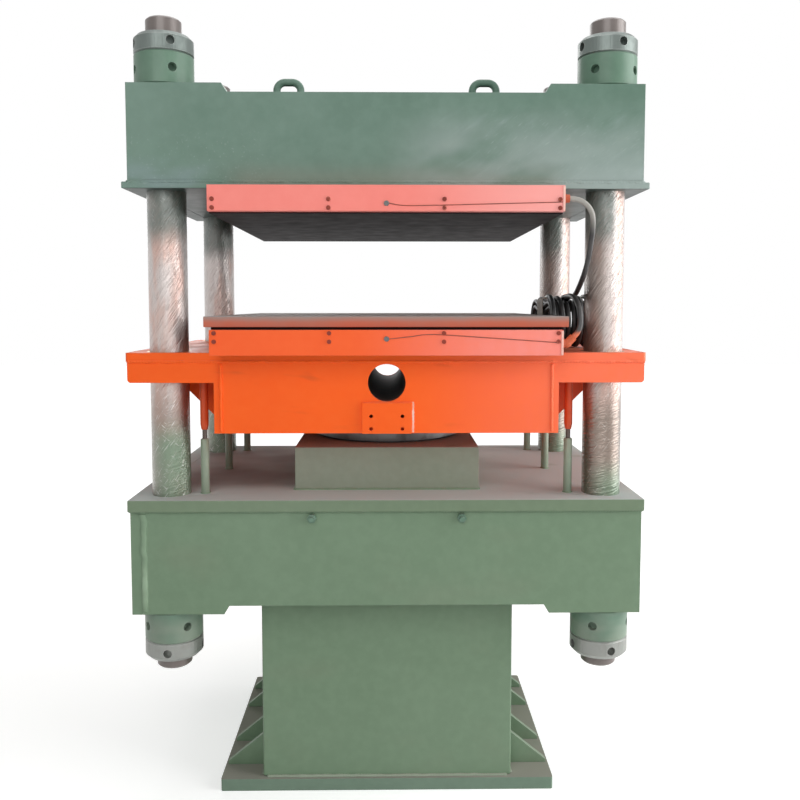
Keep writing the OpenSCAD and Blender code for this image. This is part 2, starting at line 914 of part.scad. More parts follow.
module crosshead_rear() {
    color(orange)
        translate([0, head_face_out, 0])
            rotate([90, 0, 0])
                linear_extrude(head_face_t)
                    head_face();
}

module crosshead_webs() {
    color(orange)
        for (s = [-1, 1]) {
            translate([s * (head_box_w - head_web_t) / 2, 0, z_head])
                slab(head_web_t, 2 * head_face_in, head_box_h);
            translate([s * (wing_w - head_web_t) / 2, 0, z_wing + head_corner])
                slab(head_web_t, 2 * head_face_in, wing_h - head_corner);
            translate([s * head_rib_x, 0, z_head_floor])
                slab(head_web_t, 2 * head_face_in, head_box_h - head_floor_t);
        }
}

module wing_ribs() {
    color(orange)
        for (s = [0, 180], y = [-1, 1])
            rotate([0, 0, s])
                translate([head_box_w / 2, y * wing_rib_y + head_web_t / 2, z_head])
                    rotate([90, 0, 0])
                        linear_extrude(head_web_t)
                            polygon([
                                [0, 0], [wing_rib_reach, wing_rib_reach],
                                [wing_rib_reach, head_box_h], [0, head_box_h]
                            ]);
}

module crosshead_floor() {
    color(orange)
        difference() {
            translate([0, 0, z_head])
                slab(head_box_w - 2 * head_web_t, 2 * head_face_in, head_floor_t);
            at_ram_bolts()
                translate([0, 0, z_head - 1])
                    cylinder(d = ram_bolt_d + 2 * hole_gap, h = head_floor_t + 2);
        }
}

module cross_tube() {
    color(orange)
        translate([0, 0, z_cross])
            difference() {
                rod_y(cross_tube_od, -head_face_in, head_face_in);
                rod_y(cross_bore_d, -head_face_in - 1, head_face_in + 1);
            }
}

module at_tap_holes() {
    for (x = [-1, 1], z = [0, 1])
        translate([x * tap_pitch_x / 2, 0, z_head + tap_low + z * tap_pitch_z])
            children();
}

module tapped_plate() {
    color(orange)
        difference() {
            translate([0, -head_face_out - tap_plate_t / 2, z_head])
                slab(tap_plate_w, tap_plate_t, tap_plate_h);
            at_tap_holes()
                rod_y(tap_hole_d, -head_face_out - tap_plate_t - 1, -head_face_out + 1);
        }
}

module guide_sleeves() {
    color(orange)
        at_columns()
            translate([0, 0, z_wing])
                ring(sleeve_od, bush_od, wing_h);
}

module guide_bushes() {
    color(bronze)
        at_columns()
            translate([0, 0, z_wing])
                ring(bush_od, bush_id, wing_h + head_plate_t);
}

// Stops

module stop_posts() {
    color(green)
        at_stops()
            translate([0, 0, z_deck])
                rotate_extrude()
                    polygon([
                        [0, 0], [post_d / 2, 0], [post_d / 2, post_h - 2],
                        [post_d / 2 - 2, post_h], [0, post_h]
                    ]);
}

module stop_stubs() {
    bore = stop_screw_d / 2 + hole_gap;
    color(orange)
        at_stops()
            rotate_extrude()
                polygon([
                    [bore, z_stub], [stub_tip_d / 2, z_stub], [stub_d / 2, z_stub + stub_taper],
                    [stub_d / 2, z_plate], [0, z_plate], [0, z_stub + stop_screw_in],
                    [bore, z_stub + stop_screw_in]
                ]);
}

module stop_screws() {
    color(steel)
        at_stops()
            translate([0, 0, z_post + stop_gap])
                cylinder(d = stop_screw_d, h = stop_screw_out + stop_screw_in);
}

// Platens

module at_platen_bolts() {
    for (x = [-1, 1], y = [-1, 1])
        translate([x * platen_bolt_x, y * platen_bolt_y, 0])
            children();
}

module at_heaters() {
    for (i = [0 : 2 * heater_pairs - 1])
        translate([(i + 0.5) * heater_pitch - platen_w / 2, 0, 0])
            children();
}

// The cover screws of one platen; z is the working edge of the cover and s points into it
module at_cover_screws(z, s) {
    for (x = [-1, -1 / 3, 1 / 3, 1], row = [screw_row_a, screw_row_b], turn = [0, 180])
        translate([0, 0, z + s * row])
            rotate([0, 0, turn])
                translate([x * screw_span, 0, 0])
                    children();
}

// A heated platen with its heater bores; bolt_z is the face that the platen bolts enter
module heated_platen(z, bolt_z, cover_edge, s) {
    color(steel)
        difference() {
            translate([0, 0, z])
                slab(platen_w, platen_d, platen_t);
            at_heaters()
                translate([0, 0, z + platen_t / 2])
                    rod_y(heater_d + 2 * heater_gap, -platen_d, platen_d);
            at_platen_bolts()
                translate([0, 0, bolt_z - platen_bolt_in - 1])
                    cylinder(d = platen_bolt_d + 2 * hole_gap, h = 2 * platen_bolt_in + 2);
            at_cover_screws(cover_edge, s)
                rod_y(cover_screw_d + 2 * hole_gap, -platen_d, -platen_d / 2 + cover_screw_in + 1);
            translate([0, 0, z + platen_t / 2 - probe_drop])
                rod_y(probe_d + 2 * hole_gap, -platen_d, -platen_d / 2 + probe_in + 1);
        }
}

module insulation(z) {
    color(board)
        difference() {
            translate([0, 0, z])
                slab(platen_w - 2 * insulation_inset, platen_d - 2 * insulation_inset, insulation_t);
            at_platen_bolts()
                translate([0, 0, z - 1])
                    cylinder(d = platen_bolt_d + 2 * hole_gap, h = insulation_t + 2);
        }
}

module heater_rods(z) {
    color(steel)
        at_heaters()
            translate([0, 0, z + platen_t / 2]) {
                rod_y(heater_d, -platen_d / 2 - heater_out, platen_d / 2 + heater_out);
                rod_y(terminal_d, -platen_d / 2 - heater_out - terminal_l,
                    platen_d / 2 + heater_out + terminal_l);
            }
}

// A folded sheet cover, open towards the platen
module cover_shell(z) {
    difference() {
        translate([-cover_w / 2, -cover_y, z])
            cube([cover_w, cover_depth, cover_h]);
        translate([-cover_w / 2 + cover_sheet, -cover_y + cover_sheet, z + cover_sheet])
            cube([cover_w - 2 * cover_sheet, cover_depth, cover_h - 2 * cover_sheet]);
    }
}

module front_cover(z, platen_z, cover_edge, s) {
    color(orange)
        difference() {
            cover_shell(z);
            at_cover_screws(cover_edge, s)
                rod_y(cover_screw_d + 2 * hole_gap, -platen_d, -platen_d / 2);
            translate([0, 0, platen_z + platen_t / 2 - probe_drop])
                rod_y(probe_collar_d + 2 * hole_gap, -platen_d, -platen_d / 2);
        }
}

module rear_cover(z, cover_edge, s) {
    color(orange)
        difference() {
            rotate([0, 0, 180])
                cover_shell(z);
            at_cover_screws(cover_edge, s)
                rod_y(cover_screw_d + 2 * hole_gap, -platen_d, -platen_d / 2);
        }
}

module cover_screws(cover_edge, s) {
    color(steel)
        at_cover_screws(cover_edge, s) {
            rod_y(cover_screw_d, -cover_y, -platen_d / 2 + cover_screw_in);
            rod_y(cover_head_d, -cover_y - cover_head_h, -cover_y);
        }
}

module thermocouple(platen_z) {
    color(steel)
        translate([0, 0, platen_z + platen_t / 2 - probe_drop]) {
            rod_y(probe_d, -cover_y - 2, -platen_d / 2 + probe_in);
            rod_y(probe_collar_d, -cover_y - 2, -platen_d / 2);
        }
}

// A cable gland at the right end of a front cover, from its flange to the middle of its knee or mouth
module gland_neck(at) {
    translate([cover_w / 2, at[1], at[2]])
        rotate([0, 90, 0]) {
            cylinder(d = gland_flange_d, h = gland_flange_t);
            cylinder(d = gland_d, h = at[0] - cover_w / 2);
        }
}

// A gland that lets the lead out straight
module straight_gland(end) {
    color(black)
        gland_neck(end - [lead_gap, 0, 0]);
}

// A gland that turns the lead upwards at 45 degrees
module elbow_gland(end) {
    knee = end - gland_reach * [1, 0, 1] / sqrt(2);
    color(black) {
        gland_neck(knee);
        translate(knee) {
            sphere(d = gland_knee_d);
            rotate([0, 45, 0])
                cylinder(d = gland_d, h = gland_reach - lead_gap);
        }
    }
}

module upper_insulation() {
    insulation(z_upper_board);
}

module upper_platen() {
    heated_platen(z_upper_face, z_upper_board, z_upper_cover, 1);
}

module upper_heater_rods() {
    heater_rods(z_upper_face);
}

module upper_front_cover() {
    front_cover(z_upper_cover, z_upper_face, z_upper_cover, 1);
}

module upper_rear_cover() {
    rear_cover(z_upper_cover, z_upper_cover, 1);
}

module upper_cover_screws() {
    cover_screws(z_upper_cover, 1);
}

module upper_thermocouple() {
    thermocouple(z_upper_face);
}

module upper_lead_gland() {
    straight_gland(upper_route[0]);
}

module platen_bolt(head_z, tip_z) {
    translate([0, 0, min(head_z, tip_z)])
        cylinder(d = platen_bolt_d, h = abs(head_z - tip_z));
    translate([0, 0, head_z > tip_z ? head_z : head_z - 0.6 * platen_bolt_d])
        cylinder(d = 1.7 * platen_bolt_d, h = 0.6 * platen_bolt_d, $fn = 6);
}

module upper_platen_bolts() {
    color(steel)
        at_platen_bolts()
            platen_bolt(z_beam, z_upper_board - platen_bolt_in);
}

module lower_insulation() {
    insulation(z_shelf);
}

module lower_platen() {
    heated_platen(z_lower_platen, z_lower_platen, z_lower_cover + cover_h, -1);
}

module mould_plate() {
    color(orange)
        translate([0, 0, z_mould_plate])
            slab(mould_plate_w, mould_plate_w, mould_plate_t);
}

module lower_heater_rods() {
    heater_rods(z_lower_platen);
}

module lower_front_cover() {
    front_cover(z_lower_cover, z_lower_platen, z_lower_cover + cover_h, -1);
}

module lower_rear_cover() {
    rear_cover(z_lower_cover, z_lower_cover + cover_h, -1);
}

module lower_cover_screws() {
    cover_screws(z_lower_cover + cover_h, -1);
}

module lower_thermocouple() {
    thermocouple(z_lower_platen);
}

module lower_lead_gland() {
    elbow_gland(lower_route[0]);
}

module lower_platen_bolts() {
    color(steel)
        at_platen_bolts()
            platen_bolt(z_plate, z_lower_platen + platen_bolt_in);
}

// Heater leads

function unit(v) = v / norm(v);
function heading(p, i) = unit(p[min(i + 1, len(p) - 1)] - p[max(i - 1, 0)]);

// Rings of a round tube along a path, with ref never along the path
function tube_points(p, r, sides, ref) = [
    for (i = [0 : len(p) - 1])
        let (t = heading(p, i), u = unit(cross(t, ref)), w = cross(t, u))
            for (k = [0 : sides - 1])
                p[i] + r * (cos(360 * k / sides) * u + sin(360 * k / sides) * w)
];

function tube_faces(n, sides) = concat(
    [[for (k = [0 : sides - 1]) k]],
    [for (i = [0 : n - 2], k = [0 : sides - 1])
        let (a = i * sides, b = a + sides, n1 = (k + 1) % sides)
            [a + k, b + k, b + n1, a + n1]],
    [[for (k = [sides - 1 : -1 : 0]) (n - 1) * sides + k]]
);

module tube(p, sides, ref) {
    polyhedron(tube_points(p, lead_d / 2, sides, ref), tube_faces(len(p), sides), convexity = 10);
}

function smooth(x) = let (c = max(0, min(1, x))) c * c * (3 - 2 * c);

// Half height of the loop at turn t: the loops spiral in and out again, layer by layer
function hank_h(t) =
    let (layer = min(floor(t / hank_turns), hank_layers - 1), s = t - layer * hank_turns)
    let (v = layer % 2 == 1 ? s : hank_turns - s)
    let (top = layer == 0 || layer == hank_layers - 1 ? hank_turns : hank_turns - 0.25)
    hank_fold_r + hank_step * (max(0.25, min(top, v)) - 0.25);

// Layers climbed at turn t
function hank_climb(t, k = 1) =
    k >= hank_layers ? 0 : smooth((t - k * hank_turns + 0.25) * 2) + hank_climb(t, k + 1);

function hank_run_z(h, y) = h - hank_waist * (1 + cos(180 * y / hank_run)) / 2;

// Point of the loop at turn t, in the plane of the loops
function hank_yz(t) =
    let (f = t - floor(t), a = hank_run_rings / hank_rings, h = hank_h(t), bend = 0.5 - a)
    f < a ? let (y = hank_run * (2 * f / a - 1)) [y, hank_run_z(h, y)] :
    f < 0.5 ? let (q = 90 - 180 * (f - a) / bend) [hank_run + h * cos(q), h * sin(q)] :
    f < 0.5 + a ? let (y = hank_run * (1 - 2 * (f - 0.5) / a)) [y, -hank_run_z(h, y)] :
    let (q = -90 - 180 * (f - 0.5 - a) / bend) [-hank_run + h * cos(q), h * sin(q)];

// The loops of a hank, with a short straight end before and after them
function hank_path(x, way) = concat(
    [[x, hank_y - hank_run - hank_tail, hank_z + hank_h(0)]],
    [for (i = [0 : hank_turns * hank_layers * hank_rings])
        let (t = i / hank_rings, p = hank_yz(t))
            [x + way * hank_pitch * hank_climb(t), hank_y + p[0], hank_z + p[1]]],
    [[x + way * hank_pitch * (hank_layers - 1), hank_y - hank_run + hank_tail, hank_z + hank_h(0)]]
);

// Least distance of point q from the stretch a to b
function stretch_gap(q, a, b) =
    let (d = b - a, s = max(0, min(1, (q - a) * d / (d * d))))
    norm(q - a - s * d);

function path_length(p, i = 1) = i >= len(p) ? 0 : norm(p[i] - p[i - 1]) + path_length(p, i + 1);

module hank(x, way) {
    p = hank_path(x, way);
    least = min([
        for (i = [0 : len(p) - 9], j = [i + 8 : len(p) - 2])
            stretch_gap(p[i], p[j], p[j + 1])
    ]);
    echo(str("hank: least gap ", least - lead_d, " mm, length ", path_length(p), " mm"));
    color(black)
        tube(p, 6, [1, 0, 0]);
}

module upper_lead() {
    color(black)
        tube(upper_route, 10, [1, 1, 1]);
}

module upper_hank() {
    hank(upper_hank_x, 1);
}

module lower_lead() {
    color(black)
        tube(lower_route, 10, [1, 0, 0]);
}

module lower_hank() {
    hank(lower_hank_x, -1);
}

// Tape round the waist of both hanks
module hank_tape() {
    span = (hank_layers - 1) * hank_pitch + lead_d / 2 + 0.5;
    x0 = lower_hank_x - span;
    x1 = upper_hank_x + span;
    z0 = hank_z - 56.4;
    z1 = hank_z + 59.6;
    color(tan)
        difference() {
            translate([x0 - tape_t, hank_y - tape_w / 2, z0 - tape_t])
                cube([x1 - x0 + 2 * tape_t, tape_w, z1 - z0 + 2 * tape_t]);
            translate([x0, hank_y - tape_w, z0])
                cube([x1 - x0, 2 * tape_w, z1 - z0]);
        }
}

// Crimped lugs on the free ends of the leads
module lead_lug(x) {
    translate([x, hank_y - hank_run + hank_tail + 0.3, hank_z + hank_h(0)]) {
        rod_y(lead_d - 1, 0, 22);
        translate([-5, 19, -2])
            cube([10, 17, 4]);
    }
}

module lead_lugs() {
    color(steel) {
        lead_lug(upper_hank_x + (hank_layers - 1) * hank_pitch);
        lead_lug(lower_hank_x - (hank_layers - 1) * hank_pitch);
    }
}

foot_plate();
foot_gussets();
pedestal();
base_beam();
base_deck();
base_studs();
column_front_left();
column_front_right();
column_rear_left();
column_rear_right();
column_nuts();
lock_nuts();
top_beam();
beam_flange();
lifting_loops();
cylinder_body();
cylinder_block();
ram_guide_ring();
ram_seals();
oil_inlet();
upper_insulation();
upper_platen();
upper_heater_rods();
upper_front_cover();
upper_rear_cover();
upper_cover_screws();
upper_thermocouple();
upper_lead_gland();
upper_platen_bolts();
stop_posts();
ram();
ram_bolts();
crosshead_plate();
crosshead_front();
crosshead_rear();
crosshead_webs();
wing_ribs();
crosshead_floor();
cross_tube();
tapped_plate();
guide_sleeves();
guide_bushes();
stop_stubs();
stop_screws();
lower_insulation();
lower_platen();
mould_plate();
lower_heater_rods();
lower_front_cover();
lower_rear_cover();
lower_cover_screws();
lower_thermocouple();
lower_lead_gland();
lower_platen_bolts();
upper_lead();
upper_hank();
lower_lead();
lower_hank();
hank_tape();
lead_lugs();
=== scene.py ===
"""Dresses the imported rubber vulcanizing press: finishes, welds, wiring, cords, light and camera."""

import logging
import math
from dataclasses import dataclass
from enum import Enum
from typing import Callable, Sequence

import bpy
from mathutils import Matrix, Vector, noise


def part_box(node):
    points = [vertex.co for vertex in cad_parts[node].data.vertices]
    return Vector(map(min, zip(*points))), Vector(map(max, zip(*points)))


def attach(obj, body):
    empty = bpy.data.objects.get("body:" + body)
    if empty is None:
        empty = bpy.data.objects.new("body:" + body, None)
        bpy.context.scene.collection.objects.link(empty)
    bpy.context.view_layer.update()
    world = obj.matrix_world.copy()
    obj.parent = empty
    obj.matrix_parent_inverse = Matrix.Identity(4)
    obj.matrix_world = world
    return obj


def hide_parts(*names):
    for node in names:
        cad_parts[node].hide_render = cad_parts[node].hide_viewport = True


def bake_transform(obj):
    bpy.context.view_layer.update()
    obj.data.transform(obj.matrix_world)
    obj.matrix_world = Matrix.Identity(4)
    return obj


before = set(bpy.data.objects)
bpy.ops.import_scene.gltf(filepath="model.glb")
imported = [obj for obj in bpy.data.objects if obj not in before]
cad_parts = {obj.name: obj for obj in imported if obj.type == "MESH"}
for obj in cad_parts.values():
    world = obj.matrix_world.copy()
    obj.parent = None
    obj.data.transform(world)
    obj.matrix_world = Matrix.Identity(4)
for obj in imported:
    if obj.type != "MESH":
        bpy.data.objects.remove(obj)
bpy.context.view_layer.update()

MM = 0.001
# Reach of a window that has no limit along an axis, in metres.
FAR = 9.0
# Noise level that a patch of no cover starts at, and how far full cover lowers it.
PATCH_LEVEL = 0.66
COVER_DROP = 0.28
# Cosine between softened and true normal where an edge begins to show, and where it shows fully.
EDGE_TURN = (0.995, 0.88)
# Points this close are joined before edges are softened, in metres; sharper bends than this are edges.
JOIN_REACH = 1e-5
EDGE_ANGLE = math.radians(50)
Rgb = tuple[float, float, float]
Point = tuple[float, float, float]
Socket = bpy.types.NodeSocket
LOG = logging.getLogger("vulcanizing_press")


class Body(Enum):
    """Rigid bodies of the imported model."""

    FRAME = "frame"
    CROSSHEAD = "crosshead"


class Slot(Enum):
    """Material slots of the record that new pieces belong to."""

    GREEN = "green_enamel"
    ORANGE = "orange_enamel"
    STEEL = "steel"
    RUBBER = "black_rubber"
    TAPE = "cloth_tape"


class Axis(Enum):
    """Axes of the row frame."""

    X = 0
    Y = 1
    Z = 2


class Level(Enum):
    """The two heated platens."""

    UPPER = "upper"
    LOWER = "lower"

    def named(self, piece: str) -> str:
        """Name of one of this platen's nodes, pieces or finishes."""
        return f"{self.value}_{piece}"


def mm(x: float, y: float, z: float) -> Vector:
    """Row-frame point written in millimetres, in metres."""
    return Vector((x, y, z)) * MM


def lighter(colour: Rgb, gain: float, lift: float = 0.0) -> Rgb:
    """A colour scaled by a gain and lifted, with no channel over 1."""
    return tuple(min(1.0, channel * gain + lift) for channel in colour)


class Graph:
    """Node tree of one finish, with short calls for the nodes that the finishes share."""

    def __init__(self, name: str) -> None:
        """Starts a material with a Principled shader.

        Args:
            name: name of the material.
        """
        self.material = bpy.data.materials.new(name)
        self.material.use_nodes = True
        self.tree = self.material.node_tree
        self.tree.nodes.clear()
        output = self.tree.nodes.new("ShaderNodeOutputMaterial")
        self.shader = self.tree.nodes.new("ShaderNodeBsdfPrincipled")
        self.tree.links.new(self.shader.outputs["BSDF"], output.inputs["Surface"])
        self.place: Socket = self.tree.nodes.new("ShaderNodeTexCoord").outputs["Object"]

    def feed(self, socket: Socket, value: object) -> None:
        """Links a socket to another socket, or writes a constant on it.

        Args:
            socket: the input that takes the value.
            value: an output socket, a number, or a colour of three numbers.
        """
        if isinstance(value, Socket):
            self.tree.links.new(value, socket)
        elif socket.type == "RGBA":
            socket.default_value = (*value, 1.0)
        else:
            socket.default_value = value

    def set(self, **inputs: object) -> None:
        """Feeds inputs of the Principled shader, named with underscores for spaces."""
        for name, value in inputs.items():
            self.feed(self.shader.inputs[name.replace("_", " ")], value)

    def noise(self, scale: float, detail: float = 3.0, place: Socket | None = None) -> Socket:
        """Fractal noise.

        Args:
            scale: features per metre.
            detail: octaves of finer noise.
            place: coordinates, or None for the row frame.

        Returns:
            Noise value around 0.5.
        """
        texture = self.tree.nodes.new("ShaderNodeTexNoise")
        texture.inputs["Scale"].default_value = scale
        texture.inputs["Detail"].default_value = detail
        self.feed(texture.inputs["Vector"], place or self.place)
        return texture.outputs[0]

    def streaks(self, lengths: Point, turn: Point = (0, 0, 0), detail: float = 2.0) -> Socket:
        """Noise drawn out into marks of a given size and lean.

        Args:
            lengths: size of a mark along each turned axis, in metres.
            turn: lean of the marks about X, Y and Z, in degrees.
            detail: octaves of finer noise.

        Returns:
            Noise value around 0.5.
        """
        mapping = self.tree.nodes.new("ShaderNodeMapping")
        mapping.vector_type = "TEXTURE"
        mapping.inputs["Rotation"].default_value = [math.radians(a) for a in turn]
        mapping.inputs["Scale"].default_value = lengths
        self.feed(mapping.inputs["Vector"], self.place)
        return self.noise(1.0, detail, mapping.outputs["Vector"])

    def math(self, operation: str, a: object, b: object = 0.0) -> Socket:
        """One Math node.

        Args:
            operation: Blender's name of the operation.
            a: first value or socket.
            b: second value or socket.

        Returns:
            The result.
        """
        node = self.tree.nodes.new("ShaderNodeMath")
        node.operation = operation
        self.feed(node.inputs[0], a)
        self.feed(node.inputs[1], b)
        return node.outputs[0]

    def times(self, a: object, b: object) -> Socket:
        """Product of two values."""
        return self.math("MULTIPLY", a, b)

    def ramp(self, value: Socket, low: float, high: float) -> Socket:
        """Smooth step from 0 at low to 1 at high; low may be the larger one.

        Args:
            value: the value that is mapped.
            low: value that gives 0.
            high: value that gives 1.

        Returns:
            A value from 0 to 1.
        """
        node = self.tree.nodes.new("ShaderNodeMapRange")
        node.interpolation_type = "SMOOTHSTEP"
        self.feed(node.inputs["Value"], value)
        start, end = (0.0, 1.0) if low < high else (1.0, 0.0)
        node.inputs["From Min"].default_value = min(low, high)
        node.inputs["From Max"].default_value = max(low, high)
        node.inputs["To Min"].default_value = start
        node.inputs["To Max"].default_value = end
        return node.outputs["Result"]

    def between(self, value: Socket, low: float, high: float) -> Socket:
        """Stretches a value from 0 to 1 onto the span from low to high."""
        return self.math("ADD", self.times(value, high - low), low)

    def mix(self, share: Socket, a: object, b: object) -> Socket:
        """Mixes two colours.

        Args:
            share: 0 gives a and 1 gives b.
            a: first colour or socket.
            b: second colour or socket.

        Returns:
            The mixed colour.
        """
        node = self.tree.nodes.new("ShaderNodeMix")
        node.data_type = "RGBA"
        self.feed(node.inputs[0], share)
        self.feed(node.inputs[6], a)
        self.feed(node.inputs[7], b)
        return node.outputs[2]

    def part(self, axis: Axis, vector: Socket | None = None) -> Socket:
        """One coordinate of a vector, or of the row frame."""
        node = self.tree.nodes.new("ShaderNodeSeparateXYZ")
        self.feed(node.inputs[0], vector or self.place)
        return node.outputs[axis.value]

    def window(self, axis: Axis, low: float, high: float, soft: float) -> Socket:
        """Soft-edged window along one axis.

        Args:
            axis: axis of the row frame.
            low: start of the window, in metres.
            high: end of the window, in metres.
            soft: width of each soft edge, in metres.

        Returns:
            1 inside the window and 0 outside.
        """
        place = self.part(axis)
        return self.times(self.ramp(place, low - soft, low), self.ramp(place, high + soft, high))

    def upward(self, low: float = 0.6, high: float = 0.95) -> Socket:
        """1 on faces that look up and 0 on upright ones; negative limits pick faces that look down."""
        geometry = self.tree.nodes.new("ShaderNodeNewGeometry")
        return self.ramp(self.part(Axis.Z, geometry.outputs["Normal"]), low, high)

    def rounded(self, radius: float) -> Socket:
        """Normal with softened edges.

        Args:
            radius: radius of the edges, in metres.

        Returns:
            The softened normal.
        """
        bevel = self.tree.nodes.new("ShaderNodeBevel")
        bevel.samples = 4
        bevel.inputs["Radius"].default_value = radius
        return bevel.outputs["Normal"]

    def edges(self, radius: float) -> Socket:
        """1 near outer and inner edges, 0 on open faces.

        Args:
            radius: reach of the edge band, in metres.

        Returns:
            The edge value.
        """
        geometry = self.tree.nodes.new("ShaderNodeNewGeometry")
        dot = self.tree.nodes.new("ShaderNodeVectorMath")
        dot.operation = "DOT_PRODUCT"
        self.feed(dot.inputs[0], self.rounded(radius))
        self.feed(dot.inputs[1], geometry.outputs["Normal"])
        return self.ramp(dot.outputs["Value"], *EDGE_TURN)

    def bump(self, height: Socket, distance: float, strength: object = 1.0,
             under: Socket | None = None) -> Socket:
        """Normal bent by a height.

        Args:
            height: height value.
            distance: depth of the relief, in metres.
            strength: share of the bend, a number or a socket.
            under: a normal to build on.

        Returns:
            The bent normal.
        """
        node = self.tree.nodes.new("ShaderNodeBump")
        node.inputs["Distance"].default_value = distance
        self.feed(node.inputs["Strength"], strength)
        self.feed(node.inputs["Height"], height)
        if under is not None:
            self.feed(node.inputs["Normal"], under)
        return node.outputs["Normal"]


@dataclass(frozen=True)
class ScuffOrLight:
    """Rubbed or dusty marks, and patches of painted light and shade, inside a soft-edged window of the row
    frame.
    """

    colour: Rgb
    low: Point
    high: Point
    lengths: Point
    lean: float = 0.0
    cover: float = 0.4
    strength: float = 0.6
    blur: float = 0.12
    soft: float = 0.06

    def mask(self, g: Graph) -> Socket:
        """Share of the patch's colour at each point.

        Args:
            g: the finish's node tree.

        Returns:
            A value from 0 to the patch's strength.
        """
        level = PATCH_LEVEL - COVER_DROP * self.cover
        mask = g.ramp(g.streaks(self.lengths, (0, self.lean, 0)), level, level + self.blur)
        for axis in Axis:
            low, high = self.low[axis.value], self.high[axis.value]
            if high - low < FAR:
                mask = g.times(mask, g.window(axis, low, high, self.soft))
        return g.times(mask, self.strength)


@dataclass(frozen=True)
class Enamel:
    """Sprayed shop enamel with orange peel, tonal drift, dust on top faces and thin worn edges; where
    given, painted light on its right side, painted shade on faces that look down, and patches of scuffing
    and of painted light.
    """

    name: str
    colour: Rgb
    drift: Rgb
    dust: Rgb = (0.26, 0.215, 0.19)
    dust_share: float = 0.35
    roughness: float = 0.42
    worn: Rgb = (0.32, 0.33, 0.31)
    wear: float = 0.35
    lit_right_tone: Rgb | None = None
    right_from: float = 0.0
    right_to: float = 0.5
    specular: float = 0.26
    dust_from: float = 0.28
    edge_reach: float = 0.004
    corner_r: float = 0.0016
    peel_depth: float = 0.00025
    wave_depth: float = 0.0016
    underside_shade: Rgb | None = None
    scuffs_and_light: tuple[ScuffOrLight, ...] = ()
    marks: tuple[ScuffOrLight, ...] = ()

    def build(self) -> bpy.types.Material:
        """The material of this enamel; its patches of scuffing and painted light lie under the dust, and
        its marks, painted shade among them, over it.
        """
        g = Graph(self.name)
        tone = g.mix(g.ramp(g.noise(2.4, 4), 0.36, 0.66), self.colour, self.drift)
        # Painted light: towards the right the tone turns paler, as the light falls from that side.
        if self.lit_right_tone is not None:
            side = g.ramp(g.part(Axis.X), self.right_from, self.right_to)
            tone = g.mix(g.times(side, g.between(g.noise(3.0), 0.5, 1.1)), tone, self.lit_right_tone)
        mottle = g.ramp(g.noise(46, 5), 0.3, 0.75)
        tone = g.mix(g.times(mottle, 0.16), tone, lighter(self.drift, 1.35, 0.015))
        for patch in self.scuffs_and_light:
            tone = g.mix(patch.mask(g), tone, patch.colour)
        rubbed = g.times(g.edges(self.edge_reach), g.ramp(g.noise(60, 4), 0.5, 0.68))
        tone = g.mix(g.times(rubbed, self.wear), tone, self.worn)
        settled = g.times(g.upward(), g.ramp(g.noise(9, 6), self.dust_from, self.dust_from + 0.34))
        dust = g.times(settled, self.dust_share)
        tone = g.mix(dust, tone, self.dust)
        for mark in self.marks:
            tone = g.mix(mark.mask(g), tone, mark.colour)
        # Painted shade: faces that look down are darkened.
        if self.underside_shade is not None:
            tone = g.mix(g.times(g.upward(-0.6, -0.95), 0.9), tone, self.underside_shade)
        g.set(Base_Color=tone, Specular_IOR_Level=g.between(dust, self.specular, 0.1))
        gloss = g.between(g.noise(18, 3), self.roughness - 0.1, self.roughness + 0.12)
        g.set(Roughness=g.math("ADD", gloss, g.times(dust, 0.45)))
        peel = g.bump(g.noise(520, 2), self.peel_depth, 0.5, g.rounded(self.corner_r))
        g.set(Normal=g.bump(g.noise(14, 4), self.wave_depth, 0.35, peel))
        return g.material


